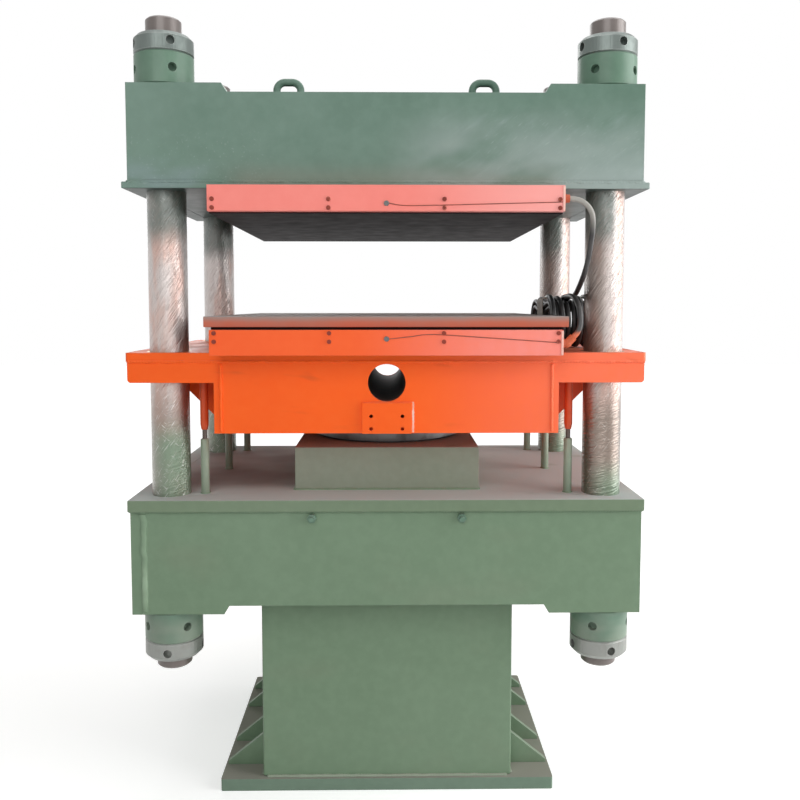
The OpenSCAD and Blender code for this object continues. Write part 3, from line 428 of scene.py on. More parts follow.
@dataclass(frozen=True)
class WrappedChrome:
    """Ground columns in slanting turns of grimy stretch film, sprayed over with paint and bare at their
    ends, with painted reflections, highlights and shade.
    """

    name: str
    colour: Rgb = (0.50, 0.445, 0.425)
    warm_reflection: Rgb = (0.49, 0.30, 0.245)
    gleam: Rgb = (0.88, 0.87, 0.85)
    mist_and_painted_light: Rgb = (0.165, 0.245, 0.16)
    shade: Rgb = (0.085, 0.12, 0.10)
    grime_and_shade: Rgb = (0.185, 0.135, 0.105)
    furrow_shade: Rgb = (0.20, 0.15, 0.13)
    bare: Rgb = (0.17, 0.145, 0.135)
    column_x: float = 0.515
    column_y: float = 0.290
    steep_lead: float = 0.40
    flat_lead: float = 0.07
    back_lead: float = 0.22
    upper_z: tuple[float, float] = (0.92, 1.06)
    bare_top_z: tuple[float, float] = (1.805, 1.815)
    bare_foot_z: tuple[float, float] = (0.365, 0.355)
    low_mist_and_reflection_z: tuple[float, float] = (0.95, 0.86)
    top_shade_z: tuple[float, float] = (1.32, 1.39)
    right_x: tuple[float, float] = (-0.1, 0.1)
    coat_roughness: float = 0.16
    coat_ior: float = 1.6
    thread_depth: float = 0.0026
    wrap_depth: float = 0.0036

    def around(self, g: Graph) -> Socket:
        """Angle of a point round its column, in radians."""
        offsets = []
        for axis, spacing in ((Axis.X, self.column_x), (Axis.Y, self.column_y)):
            place = g.part(axis)
            offsets.append(g.math("SUBTRACT", place, g.times(g.math("SIGN", place), spacing)))
        return g.math("ARCTAN2", offsets[1], offsets[0])

    def laid(self, g: Graph, lead: float, per_metre: float, spread: float) -> Socket:
        """Coordinates that follow the film round the column.

        Args:
            g: the finish's node tree.
            lead: climb of the film in one turn, in metres.
            per_metre: crinkles per metre of height.
            spread: crinkles per radian round the column.

        Returns:
            The coordinates.
        """
        angle = self.around(g)
        climb = g.math("SUBTRACT", g.part(Axis.Z), g.times(angle, lead / math.tau))
        vector = g.tree.nodes.new("ShaderNodeCombineXYZ")
        g.feed(vector.inputs[0], g.times(angle, spread))
        g.feed(vector.inputs[2], g.times(climb, per_metre))
        return vector.outputs[0]

    def hairlines(self, g: Graph) -> Socket:
        """Thin creases of the film, in two slanting directions.

        Args:
            g: the finish's node tree.

        Returns:
            1 on a crease and 0 beside it.
        """
        rising = g.noise(1.0, 2, self.laid(g, self.steep_lead, 250, 2.2))
        falling = g.noise(1.0, 2, self.laid(g, -self.back_lead, 250, 2.2))
        return g.math("MAXIMUM", g.ramp(rising, 0.60, 0.70), g.ramp(falling, 0.63, 0.72))

    def mist_reflection_and_shade(self, g: Graph, height: Socket, right: Socket, facing: Socket) -> tuple[Socket, Socket]:
        """Paint overspray with a painted green reflection at the foot of the columns, heavier on their lit
        side, and painted shade under the head beam.

        Args:
            g: the finish's node tree.
            height: Z of a point.
            right: 1 on the right columns and 0 on the left ones.
            facing: from -1 on a column's left side to 1 on its right side.

        Returns:
            Shares of the low overspray with its painted reflection, and of the painted shade at the top.
        """
        lit_side = g.ramp(facing, -0.95, 0.1)
        foot_line = g.math("ADD", height, g.times(right, 0.10))
        low = g.times(g.ramp(foot_line, *self.low_mist_and_reflection_z), g.between(lit_side, 0.35, 1.0))
        mottle = g.between(g.ramp(g.noise(14, 4), 0.3, 0.7), 0.75, 1.0)
        spared = g.times(right, g.ramp(facing, 0.0, 0.5))
        high = g.times(g.ramp(height, *self.top_shade_z), g.between(spared, 1.0, 0.1))
        return g.times(low, mottle), g.times(high, mottle)

    def build(self) -> bpy.types.Material:
        """The material of the columns."""
        g = Graph(self.name)
        height = g.part(Axis.Z)
        upper = g.ramp(height, *self.upper_z)
        ends = g.math("MAXIMUM", g.ramp(height, *self.bare_top_z), g.ramp(height, *self.bare_foot_z))
        below = g.math("SUBTRACT", 1.0, upper)
        right = g.ramp(g.part(Axis.X), *self.right_x)
        steep = g.noise(1.0, 3, self.laid(g, self.steep_lead, 190, 1.6))
        flat = g.noise(1.0, 3, self.laid(g, self.flat_lead, 170, 0.8))
        lower_wraps = g.times(g.times(flat, below), g.between(right, 1.0, 2.2))
        wraps = g.math("ADD", g.times(steep, upper), lower_wraps)
        # Painted reflection: streaks of the warm orange of the crosshead and covers.
        warm_reflection_streaks = g.ramp(g.streaks((0.04, 0.04, 0.20), detail=4), 0.42, 0.62)
        tone = g.mix(g.times(warm_reflection_streaks, 0.85), self.colour, self.warm_reflection)
        facing = g.math("COSINE", self.around(g))
        # Grime and painted shade below the crosshead, and painted shade on the upper right columns where
        # they turn away from the light.
        turned_away = g.times(g.times(right, upper), g.ramp(facing, 0.35, -0.45))
        dirt_and_shade = g.math("MAXIMUM", g.times(below, g.between(right, 0.7, 1.0)), g.times(turned_away, 0.7))
        tone = g.mix(dirt_and_shade, tone, self.grime_and_shade)
        low_mist_and_reflection, top_shade = self.mist_reflection_and_shade(g, height, right, facing)
        # Paint overspray with painted green reflection at the foot, and painted shade under the head beam.
        tone = g.mix(top_shade, g.mix(low_mist_and_reflection, tone, self.mist_and_painted_light), self.shade)
        mist_and_painted_light = g.math("MAXIMUM", low_mist_and_reflection, top_shade)
        threads = g.noise(1.0, 2, self.laid(g, self.steep_lead, 270, 1.9))
        # Painted shade in the furrows of the film's upper turns.
        shaded_furrows = g.times(g.ramp(threads, 0.48, 0.36), g.between(upper, 0.1, 0.6))
        tone = g.mix(g.times(shaded_furrows, g.between(right, 0.5, 1.0)), tone, self.furrow_shade)
        creased = g.times(g.between(below, 0.16, 0.5), g.between(right, 1.0, 0.4))
        tone = g.mix(g.times(self.hairlines(g), creased), tone, self.gleam)
        tone = g.mix(ends, tone, self.bare)
        g.set(Base_Color=tone, Coat_Roughness=self.coat_roughness, Coat_IOR=self.coat_ior)
        g.set(Metallic=g.between(g.math("MAXIMUM", mist_and_painted_light, ends), 0.8, 0.15), Roughness=0.3)
        wrapped = g.math("SUBTRACT", 1.0, ends)
        g.set(Coat_Weight=g.times(wrapped, g.between(low_mist_and_reflection, 1.0, 0.5)))
        crossed = g.between(g.times(below, right), 0.8, 0.15)
        fine = g.bump(threads, self.thread_depth, g.times(wrapped, crossed))
        normal = g.bump(wraps, self.wrap_depth, g.times(wrapped, 0.6), fine)
        g.set(Normal=normal, Coat_Normal=normal)
        return g.material


@dataclass(frozen=True)
class TurnedSteel:
    """Turned or ground bare steel with faint tool marks, handling stains and a little rust, and where given
    painted shade on the upper pieces.
    """

    name: str
    colour: Rgb
    stain: Rgb
    stain_share: float = 0.5
    roughness: float = 0.34
    metallic: float = 0.95
    marks: Point = (0.05, 0.05, 0.0009)
    marks_depth: float = 0.0002
    edge_reach: float = 0.002
    above: Rgb | None = None
    above_z: tuple[float, float] = (1.0, 1.1)

    def build(self) -> bpy.types.Material:
        """The material of this steel, with painted shade on the upper pieces if it has a tone for them."""
        g = Graph(self.name)
        stain = g.times(g.ramp(g.noise(34, 5), 0.46, 0.7), self.stain_share)
        tone = g.mix(stain, self.colour, self.stain)
        # Painted shade: the upper pieces take a darker copy of the steel.
        if self.above is not None:
            tone = g.mix(g.ramp(g.part(Axis.Z), *self.above_z), tone, self.above)
        rubbed = g.times(g.edges(self.edge_reach), 0.5)
        tone = g.mix(rubbed, tone, lighter(self.colour, 1.5, 0.1))
        g.set(Base_Color=tone, Metallic=self.metallic)
        g.set(Roughness=g.between(g.math("ADD", stain, g.noise(90, 2)), self.roughness - 0.12,
                                  self.roughness + 0.14))
        g.set(Normal=g.bump(g.streaks(self.marks, detail=1), self.marks_depth, 0.35))
        return g.material


@dataclass(frozen=True)
class PlatenFace:
    """Heated steel plate: dark scale all over, or a dusty grey top over painted edges."""

    name: str
    face: Rgb
    side: Rgb
    dust: Rgb
    dust_share: float
    rim_z: float
    rim_depth: float = 0.016
    grain_depth: float = 0.0004
    roughness: float = 0.55
    specular: float = 0.03

    def build(self) -> bpy.types.Material:
        """The material of this plate."""
        g = Graph(self.name)
        top = g.upward(0.3, 0.7)
        blotch = g.ramp(g.noise(7, 6), 0.35, 0.68)
        face = g.mix(g.times(blotch, 0.6), self.face, lighter(self.face, 1.5))
        rim = g.ramp(g.part(Axis.Z), self.rim_z - self.rim_depth, self.rim_z)
        settled = g.math("ADD", g.times(rim, 0.9), g.times(g.ramp(g.noise(11, 5), 0.35, 0.75), 0.3))
        edge = g.mix(g.times(settled, self.dust_share), self.side, self.dust)
        tone = g.mix(top, edge, g.mix(g.times(g.ramp(g.noise(16, 6), 0.3, 0.6), self.dust_share),
                                      face, self.dust))
        g.set(Base_Color=tone, Specular_IOR_Level=self.specular)
        g.set(Roughness=g.between(g.noise(20, 4), self.roughness - 0.12, self.roughness + 0.2))
        g.set(Normal=g.bump(g.noise(160, 4), self.grain_depth, 0.5))
        return g.material


@dataclass(frozen=True)
class Sheathing:
    """Rubber, plastic, board, bronze or cloth: one tone with grain, a second tone and a soft gloss."""

    name: str
    colour: Rgb
    second: Rgb
    grain: Point
    roughness: float
    relief: float
    metallic: float = 0.0
    tip: Rgb = (0.0, 0.0, 0.0)
    tip_z: tuple[float, float] | None = None

    def build(self) -> bpy.types.Material:
        """The material of this sheathing."""
        g = Graph(self.name)
        tone = g.mix(g.ramp(g.noise(28, 4), 0.38, 0.68), self.colour, self.second)
        if self.tip_z is not None:
            tone = g.mix(g.ramp(g.part(Axis.Z), *self.tip_z), tone, self.tip)
        g.set(Base_Color=tone, Metallic=self.metallic)
        g.set(Roughness=g.between(g.noise(60, 3), self.roughness - 0.1, self.roughness + 0.14))
        g.set(Normal=g.bump(g.streaks(self.grain), self.relief, 0.6))
        return g.material


HAZE_ON_BEAM = ScuffOrLight((0.335, 0.40, 0.38), (0.17, -FAR, 1.36), (0.80, FAR, 1.49),
                     (0.20, 0.20, 0.09), lean=-18, cover=1.7, strength=0.85, blur=0.4, soft=0.2)
RUBS_ON_BEAM = ScuffOrLight((0.37, 0.44, 0.435), (0.16, -FAR, 1.44), (0.60, FAR, 1.58),
                     (0.13, 0.13, 0.020), lean=-36, cover=0.5, strength=0.3, blur=0.3, soft=0.08)
SCRATCHES_ON_BEAM = ScuffOrLight((0.42, 0.49, 0.47), (0.24, -FAR, 1.46), (0.60, FAR, 1.60),
                          (0.024, 0.024, 0.0019), lean=-40, cover=0.2, strength=0.32, soft=0.06)
# Grease, together with painted warm light bounced up from the orange cover, on the beam's foot and flange.
GREASE_AND_BOUNCE_ON_BEAM = ScuffOrLight((0.285, 0.255, 0.205), (-0.30, -FAR, 1.36), (0.34, FAR, 1.445),
                       (0.25, 0.25, 0.05), cover=1.5, strength=0.55, blur=0.4, soft=0.09)
HAZE_AT_BEAM_END = ScuffOrLight((0.225, 0.30, 0.305), (-0.66, -FAR, 1.38), (-0.43, FAR, 1.485),
                         (0.12, 0.12, 0.05), cover=1.3, strength=0.6, blur=0.35, soft=0.06)
SPECKS_ON_BEAM = ScuffOrLight((0.30, 0.37, 0.34), (-0.58, -FAR, 1.48), (-0.30, FAR, 1.55),
                       (0.006, 0.006, 0.006), cover=0.16, strength=0.4)
FADE_ON_BASE = ScuffOrLight((0.22, 0.235, 0.17), (-0.60, -FAR, 0.0), (0.60, FAR, 0.72),
                     (0.30, 0.30, 0.16), cover=0.45, strength=0.3, blur=0.3, soft=0.1)
GLINT_ON_SEAM = ScuffOrLight((0.34, 0.46, 0.325), (-0.566, -0.60, 0.47), (-0.559, -0.20, 0.73),
                      (0.3, 0.3, 0.10), cover=1.3, strength=0.75, blur=0.4, soft=0.005)
# Dust and painted light: a paler, greyer tone on the lower nuts, lifting them out of the shade under the
# base beam.
DUST_AND_LIGHT_ON_NUTS = ScuffOrLight((0.28, 0.315, 0.255), (-FAR, -FAR, 0.0), (FAR, FAR, 0.44),
                     (0.12, 0.12, 0.06), cover=1.7, strength=0.6, blur=0.4)
SHADE_ON_DECK = ScuffOrLight((0.20, 0.175, 0.16), (-0.50, -0.18, -FAR), (0.02, 0.60, FAR),
                      (0.25, 0.25, 0.25), cover=1.4, strength=0.75, blur=0.4, soft=0.1)
GRIME_ON_HEAD = ScuffOrLight((0.42, 0.07, 0.02), (-0.6, -FAR, 0.90), (0.6, FAR, 1.09),
                      (0.12, 0.12, 0.03), lean=6, cover=0.2, strength=0.3, blur=0.2)


class Finishes:
    """Every material of the press, built once."""

    def __init__(self) -> None:
        """Builds the materials."""
        deck_dust = (0.46, 0.495, 0.48)
        self.beam_green = Enamel("beam_green", (0.106, 0.186, 0.140), (0.148, 0.235, 0.187),
                                 underside_shade=(0.030, 0.045, 0.040),
                                 scuffs_and_light=(HAZE_ON_BEAM, RUBS_ON_BEAM, SCRATCHES_ON_BEAM, GREASE_AND_BOUNCE_ON_BEAM,
                                         HAZE_AT_BEAM_END, SPECKS_ON_BEAM)).build()
        self.base_green = Enamel("base_green", (0.158, 0.238, 0.153), (0.174, 0.256, 0.169),
                                 scuffs_and_light=(FADE_ON_BASE, GLINT_ON_SEAM)).build()
        self.dusty_green = Enamel("dusty_green", (0.155, 0.215, 0.138), (0.168, 0.228, 0.150),
                                  dust=deck_dust, dust_share=0.97, dust_from=0.05,
                                  marks=(SHADE_ON_DECK,)).build()
        self.foot_green = Enamel("foot_green", (0.150, 0.222, 0.165), (0.164, 0.236, 0.178),
                                 dust=(0.29, 0.28, 0.24), dust_share=0.92, dust_from=0.08).build()
        self.block_green = Enamel("block_green", (0.240, 0.28, 0.212), (0.265, 0.295, 0.232),
                                  dust=deck_dust, dust_share=0.9, dust_from=0.1).build()
        self.post_green = Enamel("post_green", (0.26, 0.32, 0.24), (0.30, 0.35, 0.27),
                                 roughness=0.36).build()
        self.nut_green = Enamel("nut_green", (0.112, 0.200, 0.142), (0.140, 0.228, 0.168),
                                roughness=0.34, wear=0.5, scuffs_and_light=(DUST_AND_LIGHT_ON_NUTS,)).build()
        self.head_orange = Enamel("head_orange", (0.97, 0.124, 0.009), (0.94, 0.112, 0.008),
                                  roughness=0.4, specular=0.25, worn=(0.75, 0.26, 0.13),
                                  dust=(0.42, 0.27, 0.21), lit_right_tone=(0.98, 0.20, 0.11),
                                  scuffs_and_light=(GRIME_ON_HEAD,)).build()
        # Painted shade: the stop stubs take a darker red copy of the crosshead orange, for the shade under
        # the crosshead.
        self.shaded_stub_red = Enamel("shaded_stub_red", (0.62, 0.082, 0.018), (0.54, 0.066, 0.016),
                               specular=0.4).build()
        # Painted light: the upper cover is a paler salmon copy of the cover orange, for the stronger light
        # on it.
        self.cover_salmon_lit = Enamel("cover_salmon_lit", (0.93, 0.255, 0.215), (0.92, 0.24, 0.20),
                                   specular=0.25, worn=(0.6, 0.3, 0.22), wear=0.2,
                                   lit_right_tone=(0.97, 0.43, 0.40), right_to=0.4).build()
        self.cover_orange = Enamel("cover_orange", (0.95, 0.125, 0.026), (0.93, 0.115, 0.022),
                                   specular=0.25, worn=(0.6, 0.25, 0.15), wear=0.2,
                                   lit_right_tone=(0.97, 0.31, 0.265), right_from=-0.1,
                                   right_to=0.36).build()
        self.fold_light = Enamel("fold_light", (0.92, 0.50, 0.42), (0.93, 0.55, 0.48), roughness=0.45,
                                 worn=(0.6, 0.4, 0.32)).build()
        self.painted_screw = Enamel("painted_screw", (0.30, 0.055, 0.035), (0.20, 0.040, 0.028),
                                    roughness=0.6, specular=0.2, worn=(0.80, 0.26, 0.18),
                                    wear=0.8).build()
        self.gland_orange = Enamel("gland_orange", (0.66, 0.13, 0.045), (0.42, 0.09, 0.045),
                                   roughness=0.5, worn=(0.25, 0.16, 0.13), wear=0.6).build()
        self.film_chrome = WrappedChrome("film_chrome").build()
        self.oiled_steel = TurnedSteel("oiled_steel", (0.13, 0.13, 0.13), (0.06, 0.055, 0.05)).build()
        self.bare_steel = TurnedSteel("bare_steel", (0.42, 0.43, 0.40), (0.24, 0.19, 0.15)).build()
        self.pale_steel = TurnedSteel("pale_steel", (0.27, 0.28, 0.262), (0.226, 0.222, 0.208),
                                      roughness=0.36, metallic=0.5, marks=(0.004, 0.004, 0.12),
                                      marks_depth=0.0016, above=(0.143, 0.17, 0.158)).build()
        self.screw_steel = TurnedSteel("screw_steel", (0.10, 0.075, 0.065), (0.06, 0.04, 0.035),
                                       metallic=0.6).build()
        self.dark_platen = PlatenFace("dark_platen", (0.011, 0.009, 0.012), (0.011, 0.009, 0.011),
                                      (0.05, 0.04, 0.038), 0.3, rim_z=1.15).build()
        self.mould_face = PlatenFace("mould_face", (0.36, 0.335, 0.33), (0.56, 0.152, 0.094),
                                     (0.345, 0.26, 0.23), 0.9, rim_z=1.174).build()
        self.bronze = Sheathing("bronze", (0.45, 0.27, 0.09), (0.36, 0.20, 0.07), (0.03, 0.03, 0.0008),
                                0.34, 0.0002, metallic=1.0).build()
        self.board = Sheathing("mineral_board", (0.46, 0.43, 0.37), (0.36, 0.33, 0.28),
                               (0.004, 0.004, 0.0015), 0.85, 0.0006).build()
        self.rubber = Sheathing("cable_rubber", (0.016, 0.016, 0.017), (0.034, 0.033, 0.032),
                                (0.004, 0.004, 0.004), 0.42, 0.0003).build()
        tips = {Level.UPPER: ((0.34, 0.33, 0.30), (1.35, 1.41)),
                Level.LOWER: ((0.62, 0.14, 0.06), (1.144, 1.132))}
        self.sheath: dict[Level, bpy.types.Material] = {}
        for level, (tip, tip_z) in tips.items():
            self.sheath[level] = Sheathing(level.named("sheath"), (0.020, 0.019, 0.020),
                                           (0.040, 0.038, 0.037), (0.004, 0.004, 0.004), 0.42, 0.0003,
                                           tip=tip, tip_z=tip_z).build()
        # Painted shade: the inside of the cross bore is near black, for the shade that fills it.
        self.bore_shade = Sheathing("bore_shade", (0.018, 0.013, 0.011), (0.04, 0.022, 0.014),
                                    (0.003, 0.003, 0.003), 0.7, 0.0004).build()
        self.tape = Sheathing("cloth_tape", (0.205, 0.155, 0.115), (0.30, 0.24, 0.185),
                              (0.0011, 0.006, 0.0011), 0.6, 0.0004).build()
        self.wire = Sheathing("probe_wire", (0.34, 0.085, 0.05), (0.22, 0.07, 0.045),
                              (0.0008, 0.0008, 0.0008), 0.5, 0.0002).build()
        self.chalk = Sheathing("chalk", (0.74, 0.70, 0.66), (0.80, 0.42, 0.30), (0.002, 0.002, 0.003),
                               0.9, 0.0004).build()


class MeshDraft:
    """Points and faces of one piece, gathered before they become a Blender mesh."""

    def __init__(self) -> None:
        """Starts empty."""
        self.points: list[Vector] = []
        self.faces: list[tuple[int, ...]] = []

    def rings(self, rings: Sequence[Sequence[Vector]], closed: bool = False) -> None:
        """Skins rings of equal point counts.

        Args:
            rings: the rings, in order.
            closed: joins the last ring to the first, instead of closing both ends with flat faces.
        """
        base, sides = len(self.points), len(rings[0])
        for ring in rings:
            self.points.extend(ring)
        count = len(rings)
        for i in range(count if closed else count - 1):
            a, b = base + i * sides, base + (i + 1) % count * sides
            for k in range(sides):
                n = (k + 1) % sides
                self.faces.append((a + k, a + n, b + n, b + k))
        if not closed:
            self.faces.append(tuple(range(base + sides - 1, base - 1, -1)))
            last = base + (count - 1) * sides
            self.faces.append(tuple(range(last, last + sides)))

    def tube(self, path: Sequence[Vector], radius: Callable[[int], float], sides: int,
             closed: bool = False) -> None:
        """Round tube along a path, its rings turned as little as possible.

        Args:
            path: ring centres.
            radius: radius at each ring.
            sides: points of a ring.
            closed: the path ends where it starts.
        """
        rings = []
        last = len(path) - 1
        side = Vector((0, 0, 0))
        for i, centre in enumerate(path):
            before = path[i - 1] if i or closed else path[0]
            after = path[(i + 1) % len(path)] if i < last or closed else path[last]
            ahead = (after - before).normalized()
            side = side - ahead * side.dot(ahead)
            if side.length < 1e-6:
                side = ahead.orthogonal()
            side.normalize()
            up = ahead.cross(side)
            turns = [math.tau * k / sides for k in range(sides)]
            rings.append([centre + radius(i) * (math.cos(a) * side + math.sin(a) * up) for a in turns])
        self.rings(rings, closed=closed)

    def slab(self, outline: Sequence[Vector], shift: Vector) -> None:
        """Flat outline drawn out along a shift.

        Args:
            outline: corners of the first face.
            shift: from the first face to the second.
        """
        self.rings([list(outline), [p + shift for p in outline]])

    def make(self, name: str, material: bpy.types.Material, smooth: bool = True) -> bpy.types.Object:
        """Turns the draft into a Blender object.

        Args:
            name: name of the piece.
            material: its finish.
            smooth: smooth shading.

        Returns:
            The new object, in the row frame.
        """
        mesh = bpy.data.meshes.new(name)
        mesh.from_pydata([tuple(p) for p in self.points], [], self.faces)
        mesh.validate()
        mesh.polygons.foreach_set("use_smooth", [smooth] * len(mesh.polygons))
        mesh.materials.append(material)
        piece = bpy.data.objects.new(name, mesh)
        bpy.context.scene.collection.objects.link(piece)
        return piece


@dataclass(frozen=True)
class WeldBead:
    """A painted fillet weld with ripples, laid along a line or round a post; flat squashes it along Y."""

    radius: float = 4.2 * MM
    ripple: float = 7.0 * MM
    step: float = 2.2 * MM
    wander: float = 0.9 * MM
    sides: int = 7
    flat: float = 1.0
    core: float = 0.8
    ripple_share: float = 0.24
    drift_share: float = 0.22

    def swell(self, along: float, seed: float) -> float:
        """Radius of the bead at a distance along it."""
        ripple = abs(math.sin(math.pi * along / self.ripple))
        drift = noise.noise(Vector((along * 22, seed, 0.3)))
        return self.radius * (self.core + self.ripple_share * ripple + self.drift_share * drift)

    def run(self, draft: MeshDraft, start: Vector, end: Vector) -> None:
        """Lays a straight bead.

        Args:
            draft: mesh that takes the bead.
            start: first end.
            end: second end.
        """
        span = end - start
        count = max(4, round(span.length / self.step))
        seed = start.x * 31 + start.y * 17 + start.z * 7
        path = []
        for i in range(count + 1):
            drift = i * 0.13
            sway = [noise.noise(Vector((drift, seed, track))) for track in (4, 1, 9)]
            path.append(start + span * (i / count) + Vector(sway) * self.wander)
        base = len(draft.points)
        draft.tube(path, lambda i: self.swell(span.length * i / count, seed), self.sides)
        for point in draft.points[base:]:
            point.y = start.y + (point.y - start.y) * self.flat

    def ring(self, draft: MeshDraft, centre: Vector, radius: float) -> None:
        """Lays a bead round an upright post.

        Args:
            draft: mesh that takes the bead.
            centre: centre of the post at the weld.
            radius: radius of the post.
        """
        around = math.tau * radius
        count = max(16, round(around / self.step))
        seed = centre.x * 31 + centre.y * 17
        turns = [math.tau * i / count for i in range(count)]
        path = [centre + radius * Vector((math.cos(a), math.sin(a), 0)) for a in turns]
        draft.tube(path, lambda i: self.swell(around * i / count, seed), self.sides, closed=True)

    def border(self, draft: MeshDraft, low: Vector, high: Vector, z: float, inset: float = 0.0) -> None:
        """Lays beads along the four sides of a box, at one height.

        Args:
            draft: mesh that takes the beads.
            low: lowest corner of the box.
            high: highest corner of the box.
            z: height of the beads.
            inset: gap between a bead's ends and the corners.
        """
        for y in (low.y, high.y):
            self.run(draft, Vector((low.x + inset, y, z)), Vector((high.x - inset, y, z)))
        for x in (low.x, high.x):
            self.run(draft, Vector((x, low.y + inset, z)), Vector((x, high.y - inset, z)))


@dataclass
class SubAssembly:
    """CAD nodes of one body, dressed together with the pieces that are added to them."""

    finishes: Finishes
    body: Body

    def dress(self, material: bpy.types.Material, *nodes: str, bevel: float = 0.0) -> None:
        """Gives CAD nodes their finish.

        Args:
            material: the finish.
            nodes: names of the CAD nodes.
            bevel: width of the softened edges, in metres, or 0.
        """
        for name in nodes:
            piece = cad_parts[name]
            if not piece.material_slots:
                piece.data.materials.append(material)
            for slot in piece.material_slots:
                slot.material = material
            if bevel:
                self.soften(piece, bevel)
            LOG.info("dressed %s in %s", name, material.name)

    def soften(self, piece: bpy.types.Object, width: float) -> None:
        """Rounds a node's sharp edges a little, as rolled and ground edges are.

        Args:
            piece: the CAD node's object.
            width: width of the rounding, in metres.
        """
        weld = piece.modifiers.new("join", "WELD")
        weld.merge_threshold = JOIN_REACH
        bevel = piece.modifiers.new("soften", "BEVEL")
        bevel.width = width
        bevel.segments = 2
        bevel.limit_method = "ANGLE"
        bevel.angle_limit = EDGE_ANGLE
        bevel.use_clamp_overlap = True
        bevel.harden_normals = True

    def add(self, piece: bpy.types.Object, slot: Slot) -> bpy.types.Object:
        """Lets a new piece ride on this sub-assembly's body.

        Args:
            piece: the new piece.
            slot: the record's material slot that it belongs to; not used.

        Returns:
            The piece.
        """
        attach(piece, self.body.value)
        LOG.info("added %s", piece.name)
        return piece


@dataclass
class Pedestal(SubAssembly):
    """Foot plate, gussets and the box that the base beam stands on."""

    corner_gap: float = 10 * MM
    bead: WeldBead = WeldBead(radius=5.0 * MM)

    def build(self) -> None:
        """Dresses the pedestal and lays its welds."""
        f = self.finishes
        self.dress(f.foot_green, "foot_plate", bevel=2.0 * MM)
        self.dress(f.base_green, "pedestal", bevel=4.0 * MM)
        self.dress(f.base_green, "foot_gussets", bevel=1.0 * MM)
        low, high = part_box("pedestal")
        draft = MeshDraft()
        for z in (low.z, high.z):
            self.bead.border(draft, low, high, z, self.corner_gap)
        self.add(draft.make("pedestal_welds", f.post_green), Slot.GREEN)


@dataclass
class BaseBeam(SubAssembly):
    """The hollow base beam, its deck, studs and the stop posts that stand on it."""

    seam_x: float = 564 * MM
    seam_margin: float = 6 * MM
    seam: WeldBead = WeldBead(radius=7.0 * MM, ripple=90 * MM, wander=3.5 * MM, sides=16, flat=0.42)
    bead: WeldBead = WeldBead(radius=4.6 * MM, wander=1.4 * MM)
    post_r: float = 10 * MM
    post_bead: WeldBead = WeldBead(radius=2.6 * MM)

    def build(self) -> None:
        """Dresses the base and lays its welds."""
        f = self.finishes
        self.dress(f.base_green, "base_beam")
        self.dress(f.dusty_green, "base_deck", bevel=2.5 * MM)
        self.dress(f.block_green, "cylinder_block", bevel=2.0 * MM)
        self.dress(f.post_green, "stop_posts", bevel=0.8 * MM)
        self.dress(f.nut_green, "base_studs")
        low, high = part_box("base_beam")
        draft = MeshDraft()
        self.bead.border(draft, low, high, high.z)
        foot, crown = low.z + self.seam_margin, high.z - self.seam_margin
        for x, y in ((-self.seam_x, low.y), (self.seam_x, high.y)):
            self.seam.run(draft, Vector((x, y, foot)), Vector((x, y, crown)))
        self.block_welds(draft)
        self.add(draft.make("base_welds", f.base_green), Slot.GREEN)

    def block_welds(self, draft: MeshDraft) -> None:
        """Lays the welds round the cylinder block and the stop posts.

        Args:
            draft: mesh that takes the beads.
        """
        low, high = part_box("cylinder_block")
        self.bead.border(draft, low, high, low.z)
        posts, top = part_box("stop_posts")
        for x in (posts.x + self.post_r, top.x - self.post_r):
            for y in (posts.y + self.post_r, 0.0, top.y - self.post_r):
                self.post_bead.ring(draft, Vector((x, y, posts.z)), self.post_r)


@dataclass
class Columns(SubAssembly):
    """The four columns with their nuts and lock nuts."""

    def build(self) -> None:
        """Dresses the columns."""
        f = self.finishes
        for row in ("front", "rear"):
            for side in ("left", "right"):
                self.dress(f.film_chrome, f"column_{row}_{side}")
        self.dress(f.nut_green, "column_nuts")
        self.dress(f.pale_steel, "lock_nuts")


@dataclass
class HeadBeam(SubAssembly):
    """The box beam that takes the press's thrust, with its flange and lifting loops."""

    loop_x: float = 238 * MM
    loop_y: float = 200 * MM
    loop_leg: float = 29 * MM
    loop_bar_r: float = 9 * MM
    bead: WeldBead = WeldBead(radius=4.4 * MM, wander=1.2 * MM)
    loop_bead: WeldBead = WeldBead(radius=3.2 * MM)

    def build(self) -> None:
        """Dresses the head beam and lays its welds."""
        f = self.finishes
        self.dress(f.beam_green, "top_beam", bevel=4.0 * MM)
        self.dress(f.beam_green, "beam_flange", bevel=2.0 * MM)
        self.dress(f.beam_green, "lifting_loops")
        low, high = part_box("top_beam")
        draft = MeshDraft()
        self.bead.border(draft, low, high, low.z)
        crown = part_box("lifting_loops")[0].z
        for x in (-self.loop_x, self.loop_x):
            for y in (-self.loop_y, self.loop_y):
                for leg in (-self.loop_leg, self.loop_leg):
                    self.loop_bead.ring(draft, Vector((x + leg, y, crown)), self.loop_bar_r)
        self.add(draft.make("head_beam_welds", f.beam_green), Slot.GREEN)


@dataclass
class RamUnit(SubAssembly):
    """Cylinder, ram, guide ring and seals."""

    def build(self) -> None:
        """Dresses the cylinder and the ram."""
        f = self.finishes
        self.dress(f.base_green, "cylinder_body")
        self.dress(f.bronze, "ram_guide_ring")
        self.dress(f.rubber, "ram_seals")
        self.dress(f.bare_steel, "oil_inlet")
        self.dress(f.oiled_steel, "ram", "ram_bolts")


